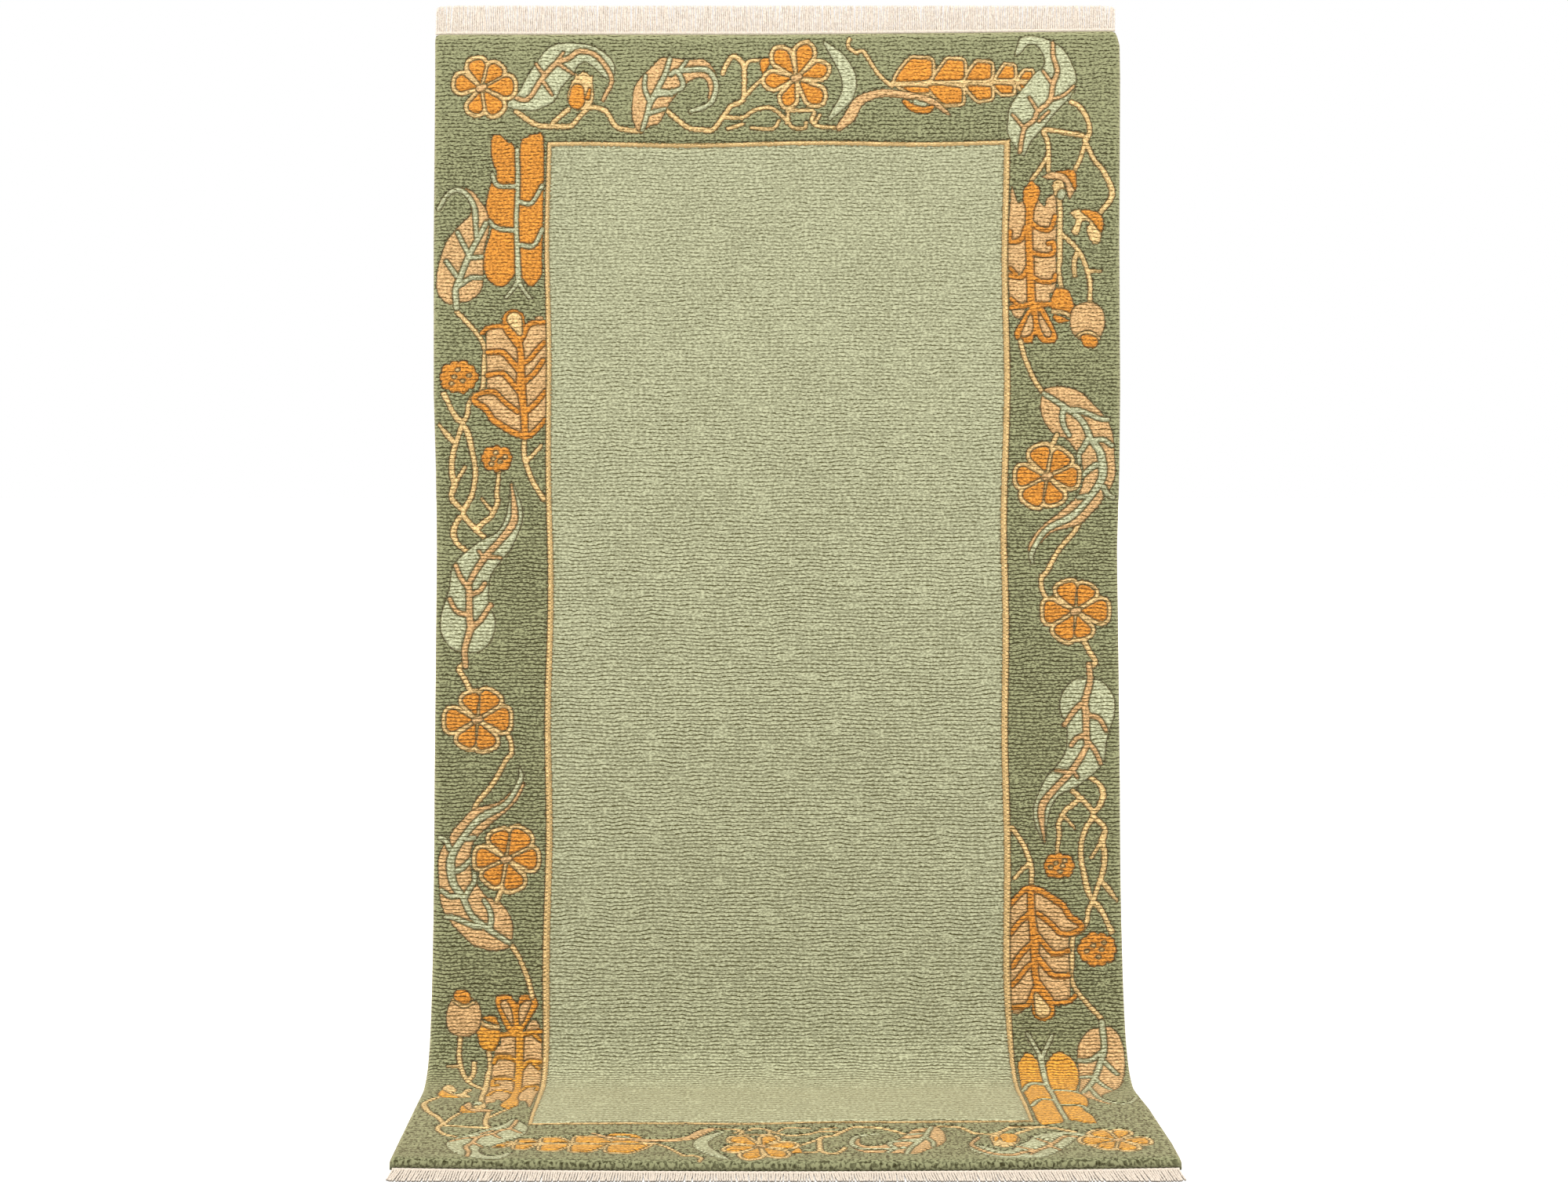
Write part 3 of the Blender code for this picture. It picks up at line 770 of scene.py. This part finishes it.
def grid_faces(index):
    """The quads of a grid of point numbers."""
    faces = np.stack((index[:-1, :-1], index[:-1, 1:], index[1:, 1:], index[1:, :-1]), axis=-1)
    return faces.reshape(-1, 4)


def mesh_from_grid(name, material, places, normals, layers, flat, faces=None, wide_faces=()):
    """An object whose points are a grid of rows and columns, with its layers as point values."""
    rows, columns = places.shape[:2]
    if faces is None:
        faces = grid_faces(np.arange(rows * columns).reshape(rows, columns))
    loops = np.concatenate((faces.ravel(), *wide_faces)).astype(np.int32)
    sizes = np.array([4] * len(faces) + [len(face) for face in wide_faces])
    used, loops = np.unique(loops, return_inverse=True)
    mesh = bpy.data.meshes.new(name)
    mesh.vertices.add(len(used))
    mesh.vertices.foreach_set("co", places.reshape(-1, 3)[used].astype(np.float32).ravel())
    mesh.loops.add(len(loops))
    mesh.loops.foreach_set("vertex_index", loops.astype(np.int32))
    mesh.polygons.add(len(sizes))
    mesh.polygons.foreach_set("loop_start", (np.cumsum(sizes) - sizes).astype(np.int32))
    mesh.update(calc_edges=True)
    mesh.shade_smooth()
    for layer, values in layers.items():
        held = mesh.attributes.new(layer, "FLOAT_VECTOR", "POINT")
        held.data.foreach_set("vector", values.reshape(-1, 3)[used].astype(np.float32).ravel())
    u, v = flat
    across = (u - u.min()) / np.ptp(u)
    along = (v - v.min()) / np.ptp(v)
    spread = np.stack((across, along), axis=-1).reshape(-1, 2)[used]
    layer = mesh.uv_layers.new(name="OFBake")
    layer.data.foreach_set("uv", spread[loops].astype(np.float32).ravel())
    mesh.validate()
    if normals is not None:
        mesh.normals_split_custom_set_from_vertices(normals.reshape(-1, 3))
    return linked(name, mesh, material)


def grid_normals(places):
    """Normals of a grid of places, on the side that its face looks to."""
    normals = np.cross(np.gradient(places, axis=1), np.gradient(places, axis=0))
    return normals / np.maximum(np.linalg.norm(normals, axis=-1, keepdims=True), TINY)


def walled(steps, half):
    """Grid stations from edge to edge, with the side wall's extra stations, and the wall's share."""
    stations = np.linspace(-half, half, steps + 1)
    wall = np.array(WALL_SHARES)
    stations = np.concatenate((np.full(len(wall), -half), stations, np.full(len(wall), half)))
    share = np.concatenate((wall, np.ones(steps + 1), wall[::-1]))
    return stations, share


def wool_layers(flat_place, wools, across, edge):
    """What the wool's materials read at each point."""
    return {
        "flat_place": np.stack(flat_place, axis=-1),
        "edges_warm": np.stack(wools[:3], axis=-1),
        "edges_cool": np.stack((wools[MINT], across, edge), axis=-1),
    }


def pile_pieces(material):
    """The pile in five pieces that meet along the inner line's grooves and the border's rows."""
    stations_u, share_u = walled(COLUMNS, HALF_WIDTH)
    stations_v, share_v = walled(ROWS, HALF_LENGTH)
    u, v = np.meshgrid(stations_u, stations_v)
    wall = np.minimum(*np.meshgrid(share_u, share_v))
    wools, across = draw_chart(u, v)
    edge = np.min([np.abs(held) for held in wools], axis=0)

    carve = CARVE_DEPTH * np.exp(-(edge / CARVE_HALF) ** 2)
    groove = np.maximum(1.0 - np.abs(np.abs(across) - GROOVE_OFFSET) / GROOVE_HALF, 0.0)
    height = rim_height(u, v) - np.maximum(carve, GROOVE_DEPTH * groove)
    for length_u, length_v, seed, tall in (RIDGES, SWELLS):
        height = height + tall * (patches(u, v, length_u, length_v, seed) - 0.5)
    w = np.minimum(height, THICKNESS) * wall

    flat_u, flat_v = outlined(*waver(u, v))
    places = folded(flat_u, flat_v, w)
    normals = grid_normals(places)
    drop = height * (1.0 - wall)
    past_u = u + np.copysign(drop, u) * (np.abs(u) > HALF_WIDTH - TINY)
    past_v = v + np.copysign(drop, v) * (np.abs(v) > HALF_LENGTH - TINY)
    layers = wool_layers((past_u, past_v, w), wools, across, edge)

    # The seams lie in the groove on the field's side of the inner line
    wall_lines = len(WALL_SHARES)
    seam_u = wall_lines + round((HALF_WIDTH - LINE_U + GROOVE_OFFSET) / RUG_WIDTH * COLUMNS)
    seam_foot = wall_lines + round((HALF_LENGTH - LINE_FOOT + GROOVE_OFFSET) / RUG_LENGTH * ROWS)
    seam_head = wall_lines + round((HALF_LENGTH + LINE_HEAD - GROOVE_OFFSET) / RUG_LENGTH * ROWS)
    seam_head -= (seam_head - seam_foot) % FIELD_SKIP
    last_u, last_v = len(stations_u) - 1, len(stations_v) - 1
    spans = {
        "pile_border_foot": (slice(0, seam_foot + 1), slice(None)),
        "pile_border_head": (slice(seam_head, last_v + 1), slice(None)),
        "pile_border_left": (slice(seam_foot, seam_head + 1), slice(0, seam_u + 1)),
        "pile_border_right": (slice(seam_foot, seam_head + 1), slice(last_u - seam_u, last_u + 1)),
        "pile_field": (slice(seam_foot, seam_head + 1, FIELD_SKIP),
                       slice(seam_u, last_u - seam_u + 1, FIELD_SKIP)),
    }
    pieces = []
    for name, span in spans.items():
        held = {layer: values[span] for layer, values in layers.items()}
        flat = u[span], v[span]
        pieces.append(mesh_from_grid(name, material, places[span], normals[span], held, flat))
    return pieces


def back_faces(columns, rows):
    """Small quads over the border and long ones over the field, with shared points where they meet."""
    index = np.arange(len(rows) * len(columns)).reshape(len(rows), len(columns))
    inner = np.flatnonzero(np.abs(rows) < LINE_HEAD - BACK_INSET)
    first, last = inner[0], inner[-1]
    field = np.flatnonzero(np.abs(columns) < LINE_U - BACK_INSET)
    kept = sorted(set(field[::BACK_MIDDLE_SKIP]) | {field[-1]})
    sides = [index[first:last + 1, :field[0] + 1], index[first:last + 1, field[-1]:]]
    middle = index[first + 1:last][:, kept]
    faces = [grid_faces(part) for part in (index[:first + 1], index[last:], middle, *sides)]
    wide = []
    for left, right in zip(kept, kept[1:]):
        lower = index[first, left:right + 1]
        wide.append((*lower, index[first + 1, right], index[first + 1, left]))
        upper = index[last, left:right + 1]
        wide.append((index[last - 1, left], index[last - 1, right], *upper[::-1]))
    return np.concatenate(faces), wide


def rug_back(material):
    """The woven back, one sheet from edge to edge."""
    columns = np.linspace(-HALF_WIDTH, HALF_WIDTH, COLUMNS // BACK_SKIP + 1)
    rows = np.linspace(-HALF_LENGTH, HALF_LENGTH, ROWS // BACK_SKIP + 1)
    u, v = np.meshgrid(columns, rows)
    w = np.zeros_like(u)
    wools, across = draw_chart(u, v)
    flat_u, flat_v = outlined(*waver(u, v))
    places = folded(flat_u, flat_v, w)
    layers = wool_layers((u, v, w), wools, across, across)
    faces, wide = back_faces(columns, rows)
    turned = [face[::-1] for face in wide]
    return mesh_from_grid("rug_back", material, places, None, layers, (u, v), faces[:, ::-1], turned)


class Graph:
    """A material's nodes, with short names for the steps used here."""

    def __init__(self, name):
        self.material = bpy.data.materials.new(name)
        self.material.use_nodes = True
        self.nodes = self.material.node_tree.nodes
        self.links = self.material.node_tree.links

    def put(self, inputs, values):
        """Links or sets the named inputs."""
        for key, value in values.items():
            if isinstance(value, bpy.types.NodeSocket):
                self.links.new(value, inputs[key])
            else:
                inputs[key].default_value = value

    def surface(self, **values):
        """The material, once its shader has what is given here."""
        named = {key.replace("_", " "): value for key, value in values.items()}
        self.put(self.nodes["Principled BSDF"].inputs, named)
        return self.material

    def add(self, kind, values, **settings):
        """The outputs of a new node."""
        node = self.nodes.new("ShaderNode" + kind)
        for key, value in settings.items():
            setattr(node, key, value)
        self.put(node.inputs, values)
        return node.outputs

    def layer(self, name):
        return self.add("Attribute", {}, attribute_name=name)["Vector"]

    def parts(self, vector):
        return self.add("SeparateXYZ", {0: vector})

    def math(self, operation, *values):
        return self.add("Math", dict(enumerate(values)), operation=operation)[0]

    def plus(self, first, second):
        return self.math("ADD", first, second)

    def minus(self, first, second):
        return self.math("SUBTRACT", first, second)

    def times(self, first, second, added=0.0):
        return self.math("MULTIPLY_ADD", first, second, added)

    def noise(self, vector, fineness, detail=2.0, roughness=0.5, distortion=0.0):
        """Noise that is equally fine all round, or finer one way than the other."""
        if isinstance(fineness, tuple):
            vector = self.add("VectorMath", {0: vector, 1: fineness}, operation="MULTIPLY")[0]
            fineness = 1.0
        values = {"Vector": vector, "Scale": fineness, "Detail": detail, "Roughness": roughness,
                  "Distortion": distortion}
        return self.add("TexNoise", values, noise_dimensions="2D")["Fac"]

    def between(self, value, low, high, start=0.0, end=1.0, smooth=True):
        """A value's way from low to high, as one from start to end."""
        values = {"Value": value, "From Min": low, "From Max": high, "To Min": start, "To Max": end}
        return self.add("MapRange", values, interpolation_type="SMOOTHSTEP" if smooth else "LINEAR")[0]

    def mix(self, share, first, second, blend="MIX"):
        return self.add("Mix", {0: share, 6: first, 7: second}, data_type="RGBA", blend_type=blend)[2]

    def shaded(self, colour, tone):
        """A colour made darker or lighter by one number."""
        grey = self.add("CombineColor", {0: tone, 1: tone, 2: tone})[0]
        return self.mix(1.0, colour, grey, "MULTIPLY")

    def bump(self, height, distance, strength):
        return self.add("Bump", {"Height": height, "Distance": distance, "Strength": strength})[0]


def wool_colours(graph, blur, stray=None):
    """The design's flat colour, how near each place is to a carved edge, the line, and the motifs."""
    warm, cool = graph.layer("edges_warm"), graph.layer("edges_cool")
    if stray is not None:
        strays = graph.add("CombineXYZ", {0: stray, 1: stray, 2: stray})[0]
        warm, cool = (graph.add("VectorMath", {0: layer, 1: strays}, operation="ADD")[0]
                      for layer in (warm, cool))
    warm, cool = graph.parts(warm), graph.parts(cool)
    across = cool[1]
    in_field = graph.between(across, *FIELD_EDGE)
    colour = graph.mix(in_field, srgb(BORDER_GREEN), srgb(FIELD_GREEN))
    v = graph.parts(graph.layer("flat_place"))[1]
    # Painted light: the orange turns lighter and yellower where the pile bends down to lie on the floor
    orange = graph.mix(graph.between(v, *LIT_ORANGE_RAMP), srgb(ORANGE_WOOL), srgb(FLOOR_LIT_ORANGE))
    edge = within = None
    for distance, wool in ((warm[PEACH], srgb(PEACH_WOOL)), (cool[0], srgb(MINT_WOOL)),
                           (warm[ORANGE], orange), (warm[GOLD], srgb(GOLD_WOOL))):
        share = graph.between(distance, blur, -blur)
        colour = graph.mix(share, colour, wool)
        away = graph.math("ABSOLUTE", distance)
        edge = away if edge is None else graph.math("MINIMUM", edge, away)
        within = distance if within is None else graph.math("MINIMUM", within, distance)
    return colour, edge, across, within


def row_gaps(graph, flat, v, tufts):
    """Broken, wavy gaps between the rows of knots, used for the bump and as painted shade: 0 in a gap, 1
    on a row.
    """
    drift = graph.noise(flat, DRIFTS, 3.0, 0.66)
    drifted = graph.times(drift, ROW_DRIFT, v)
    drifted = graph.times(tufts, TUFT_DRIFT, drifted)
    row = graph.math("PINGPONG", graph.math("DIVIDE", drifted, ROW_PITCH), 0.5)
    gap = graph.between(row, *GAP_EDGE)
    broken = graph.noise(flat, BREAKS, 1.0)
    depth = graph.times(graph.between(drifted, *GAPS_GROW), graph.between(drifted, *GAPS_CEASE))
    strength = graph.times(graph.between(broken, *GAP_BREAKS), depth)
    missing = graph.times(strength, graph.minus(1.0, gap))
    return graph.minus(1.0, missing)


def painted_rim_highlight(graph, u, v):
    """Painted highlight: the rounded edge of the pile is lighter along the sides and the head, where it
    catches the light.
    """
    beside = graph.minus(HALF_WIDTH, graph.math("ABSOLUTE", u))
    beyond = graph.minus(HALF_LENGTH, v)
    return graph.between(graph.math("MINIMUM", beside, beyond), *RIM_HIGHLIGHT)


def floor_flecks(graph, flat, v, ground):
    """Painted shade and light on the border that lies on the floor: dark and light flecks for the sides of
    its tufts.
    """
    flecks = graph.between(graph.noise(flat, FLECKS, 1.0), *FLECK_SHADE)
    lying = graph.times(graph.between(v, *FLECKS_START), graph.between(v, *FLECKS_CEASE))
    return graph.times(flecks, graph.times(lying, ground))


def painted_groove_shade(graph, edge, across, within):
    """Painted shade in the carved grooves: dark outlines against the ground, and lighter ones between two
    wools.
    """
    ground_edge = graph.between(graph.math("ABSOLUTE", within), *GROUND_LINE)
    ground_edge = graph.times(ground_edge, graph.between(across, *GROUND_LINE_SHARE))
    return graph.math("MAXIMUM", ground_edge, graph.between(edge, *WOOL_LINE))


def pile_material():
    """Cut wool pile: knot rows with painted shade in their broken gaps, tufts with painted shade and
    light, and painted brown shade in the carved outlines.
    """
    graph = Graph("carved_wool_pile")
    flat = graph.layer("flat_place")
    u, v, w = graph.parts(flat)[:3]
    tufts = graph.noise(flat, TUFTS, 1.0, 0.5, 0.3)
    stray = graph.between(tufts, *TUFT_STRAY, smooth=False)
    colour, edge, across, within = wool_colours(graph, PILE_BLUR, stray)
    in_field = graph.between(across, *FIELD_EDGE)
    on_motif = graph.between(within, *MOTIF_EDGE)

    gap = row_gaps(graph, flat, v, tufts)
    tuft = graph.between(tufts, *TUFT_EDGE)
    fibre = graph.noise(flat, FIBRES, 1.0)
    # The relief bumps the pile and is painted into its colour as shade and light: gaps dark, tuft tops
    # light
    relief = graph.times(gap, GAP_SHARE, graph.times(tuft, TUFT_SHARE))
    relief = graph.times(fibre, FIBRE_SHARE, relief)

    patch = graph.between(graph.noise(flat, PATCHES, 3.0, 0.6), *PATCH_SHADE)
    ground = graph.minus(graph.minus(1.0, in_field), graph.times(on_motif, MOTIF_CALM))
    shade = graph.plus(relief, graph.plus(floor_flecks(graph, flat, v, ground), patch))
    shade = graph.plus(shade, graph.between(v, *HEAD_LIGHT))
    shade = graph.plus(shade, painted_rim_highlight(graph, u, v))
    # The shade tints the wool from dark to light: painted shade and light of the relief, flecks and rim,
    # with random patches of tone
    ends = []
    for border, field, motif in zip(BORDER_SHADE, FIELD_SHADE, MOTIF_SHADE):
        end = graph.between(in_field, 0.0, 1.0, border, field, smooth=False)
        ends.append(graph.times(on_motif, motif, end))
    shade = graph.between(shade, 0.0, 1.0, *ends, smooth=False)
    colour = graph.mix(1.0, colour, graph.mix(shade, DARK_TINT, LIGHT_TINT), "MULTIPLY")

    # Painted shade down the pile's side wall and rounded edge towards its base; the pile is also darker
    # along the foot's front edge
    front = graph.times(graph.between(w, *WALL_SHADE), graph.between(v, *FRONT_SHADE))
    colour = graph.shaded(colour, front)
    # Painted shade in the carved grooves, which also deepens the bump
    line = painted_groove_shade(graph, edge, across, within)
    colour = graph.mix(line, colour, GROOVE_SHADE_TINT, "MULTIPLY")
    return graph.surface(
        Base_Color=colour, Normal=graph.bump(graph.minus(relief, line), 0.0013, 1.0),
        Roughness=0.93, Specular_IOR_Level=0.12,
        Sheen_Weight=0.34, Sheen_Roughness=0.5, Sheen_Tint=SHEEN_TINT,
    )


def back_material():
    """Woven back: the design in small even knots, paler, with the wefts between the rows."""
    graph = Graph("woven_back")
    flat = graph.layer("flat_place")
    colour = wool_colours(graph, BACK_BLUR)[0]
    u, v = graph.parts(flat)[:2]
    rows = graph.math("SINE", graph.times(v, math.tau / BACK_ROW))
    knots = graph.math("SINE", graph.times(u, math.tau / BACK_KNOT))
    weave = graph.times(graph.times(rows, knots), KNOT_DEPTH, graph.times(rows, ROW_DEPTH))
    weave = graph.plus(weave, graph.noise(flat, BACK_FIBRES))
    # Painted shade and light of the weave: hollows between rows and knots darker, their tops lighter
    tone = graph.between(weave, *BACK_SHADE, smooth=False)
    colour = graph.shaded(graph.mix(WEFT_SHARE, colour, srgb(WEFT_COTTON)), tone)
    return graph.surface(Base_Color=colour, Normal=graph.bump(weave, 0.0007, 0.8),
                         Roughness=0.95, Specular_IOR_Level=0.1)


def cotton_material(name, fineness):
    """Undyed cotton: warm white, a little uneven, with fine fibres along the yarn."""
    graph = Graph(name)
    flat = graph.layer("flat_place")
    v, outer = graph.parts(flat)[1:3]
    fibres = graph.noise(flat, fineness, 2.0, 0.6)
    tone = graph.between(graph.noise(flat, YARN_PATCHES, 1.0), *YARN_SHADE)
    # The third flat value says how far the yarn faces out: painted shade on each strand's flanks and
    # underside, where strands meet
    for value, ramp in ((fibres, FIBRE_SHADE), (outer, DEPTH_SHADE), (v, FOOT_SHADE)):
        tone = graph.times(tone, graph.between(value, *ramp))
    colour = graph.shaded(srgb(CREAM_COTTON), tone)
    return graph.surface(Base_Color=colour, Normal=graph.bump(fibres, 0.0004, 0.7),
                         Roughness=0.9, Specular_IOR_Level=0.15, Sheen_Weight=0.1)


def web(row, material):
    """The flat-woven strip between the pile and its fringe, a closed rounded band."""
    name, end, left, right, base = row[:5]
    across = np.linspace(left, right, WEB_COLUMNS)
    turn = np.linspace(0.0, math.tau, WEB_SIDES)
    cos, sin = np.cos(turn), np.sin(turn)
    out = WEB_REACH / 2 * (1 - np.sign(cos) * np.abs(cos) ** WEB_ROUNDNESS)
    lift = WEB_THICKNESS / 2 * (1 + np.sign(sin) * np.abs(sin) ** WEB_ROUNDNESS)
    u, out = np.meshgrid(across, out, indexing="ij")
    lift = lift * (1 - WEB_RIB + WEB_RIB * np.sin(u / WEB_RIB_LENGTH))
    v = end * (HALF_LENGTH + CLEARANCE + out)
    places = folded(u, v + end_drift(u, v), base + lift)
    layers = {"flat_place": np.stack((u, v, np.full_like(u, 0.001)), axis=-1)}
    around = np.broadcast_to(turn, u.shape)
    return mesh_from_grid("web_" + name, material, places, None, layers, (u, around))


def strands(row, material):
    """Twisted warp ends: two plies each, close together, a little wavy and cut by hand."""
    name, end, left, right, base, length, lean_left, lean_right, seed = row
    draw = np.random.default_rng(seed)
    roots = np.linspace(left + STRAND_RADIUS, right - STRAND_RADIUS, STRANDS)
    roots = roots + draw.uniform(-ROOT_JITTER, ROOT_JITTER, STRANDS)
    corner = np.minimum(roots - left, right - roots)
    lengths = length - CORNER_DROP * np.exp(-corner / CORNER_DROP) - draw.uniform(0.0, CUT_JITTER, STRANDS)
    lengths = lengths - end * end_drift(roots, end)
    (long_wave, long_pitch), (short_wave, short_pitch) = STRAND_WAVES
    wave = long_wave * np.sin(math.tau * roots / long_pitch + seed)
    wave = wave + short_wave * np.sin(math.tau * roots / short_pitch)
    spread = np.interp(roots, (left, right), (lean_left, lean_right))
    leans = wave + spread + draw.normal(0.0, LEAN_JITTER, STRANDS)
    curls = draw.uniform(-CURL, CURL, STRANDS)
    phases = draw.uniform(0.0, math.tau, STRANDS)

    share = np.linspace(0.0, 1.0, STRAND_STEPS + 1)
    around = np.linspace(0.0, math.tau, STRAND_SIDES, endpoint=False)
    strand, step, side = np.meshgrid(np.arange(STRANDS), share, around, indexing="ij")
    phase = phases[strand]
    twist = step * lengths[strand] / TWIST_LENGTH * math.tau + phase
    ply = 1 + PLY_DEPTH * np.cos(2 * (side - twist))
    radius = STRAND_RADIUS * ply * (1 - STRAND_TAPER * step ** 3)
    wobble, turns = SIDE_WOBBLE
    middle_u = roots[strand] + leans[strand] * step ** LEAN_CURVE
    middle_u = middle_u + wobble * np.sin(step * turns + phase) * step
    middle_w = base + STRAND_RADIUS * (1 + PLY_DEPTH) + STRAND_LIFT
    if end > 0:
        wobble, turns = HIGH_WOBBLE
        middle_w = middle_w + curls[strand] * step + wobble * np.cos(step * turns + phase) * step
    u = middle_u + radius * np.cos(side)
    w = middle_w + radius * np.sin(side)
    out = WEB_REACH * STRAND_ROOT + (lengths[strand] + WEB_REACH * (1 - STRAND_ROOT)) * step
    v = end * (HALF_LENGTH + CLEARANCE + out)
    places = folded(u, v + end_drift(u, v), w)

    rings = np.arange(strand.size).reshape(strand.shape)
    following = np.roll(rings, -1, axis=2)
    faces = np.stack((rings[:, :-1], following[:, :-1], following[:, 1:], rings[:, 1:]), axis=-1)
    ends = rings[:, -1]
    if end < 0:
        faces, ends = faces[..., ::-1], ends[:, ::-1]
    mesh = bpy.data.meshes.new("strands_" + name)
    mesh.from_pydata(places.reshape(-1, 3), [], faces.reshape(-1, 4).tolist() + ends.tolist())
    mesh.shade_smooth()
    held = mesh.attributes.new("flat_place", "FLOAT_VECTOR", "POINT")
    # Its third value lets the material paint shade on each strand's flanks and underside
    along_yarn = np.stack((strand * 0.003 + np.cos(side) * 0.0005, v, np.sin(side) * 0.001), axis=-1)
    held.data.foreach_set("vector", along_yarn.astype(np.float32).ravel())
    return linked("strands_" + name, mesh, material)


def floor_and_light():
    """A plain pale floor, even light from all round, and a soft key light."""
    mesh = bpy.data.meshes.new("floor")
    corners = ((-1, -1), (1, -1), (1, 1), (-1, 1))
    mesh.from_pydata([(x * FLOOR_HALF, y * FLOOR_HALF, CAD_BOX[0][2]) for x, y in corners], [],
                     [(0, 1, 2, 3)])
    graph = Graph("pale_floor")
    tone = graph.noise(graph.add("TexCoord", {})["Object"], 0.8, 2.0)
    colour = graph.mix(graph.between(tone, 0.3, 0.7), srgb(FLOOR_WHITE), srgb(FLOOR_LIGHT))
    material = graph.surface(Base_Color=colour, Roughness=0.9, Specular_IOR_Level=0.1)
    linked("floor", mesh, material)

    world = bpy.data.worlds.new("studio")
    bpy.context.scene.world = world
    world.use_nodes = True
    background = world.node_tree.nodes["Background"]
    background.inputs["Color"].default_value = (1.0, 1.0, 1.0, 1.0)
    background.inputs["Strength"].default_value = 1.0

    lamp = bpy.data.lights.new("key", "SUN")
    lamp.energy = KEY_STRENGTH
    lamp.angle = KEY_SPREAD
    lamp.color = KEY_COLOUR
    item = linked("key", lamp)
    item.location = KEY_PLACE
    item.rotation_euler = KEY_TURN


def camera():
    """The camera of the photo, level and square to the rug."""
    data = bpy.data.cameras.new("camera")
    data.lens = LENS
    data.sensor_width = SENSOR
    data.shift_x = SHIFT_X
    data.shift_y = SHIFT_Y
    item = linked("camera", data)
    x, y, z = CAMERA_PLACE
    item.location = (x, y + SHIFT[1], z)
    item.rotation_euler = (math.pi / 2, 0.0, 0.0)
    bpy.context.scene.camera = item


def main():
    bpy.context.scene.view_settings.view_transform = "Standard"
    camera()
    floor_and_light()
    pile = pile_pieces(pile_material())
    back = rug_back(back_material())
    cotton = cotton_material("cotton_yarn", YARN_FIBRES)
    woven = cotton_material("cotton_web", WEB_FIBRES)
    ends = {}
    for row in FRINGES:
        ends[row[0]] = [web(row, woven), strands(row, cotton)]
    for piece in [back, *pile]:
        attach(piece, BODY)
        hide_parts("pile_rug")
    for name, pieces in ends.items():
        for piece in pieces:
            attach(piece, BODY)
            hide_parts("fringe_" + name)


main()
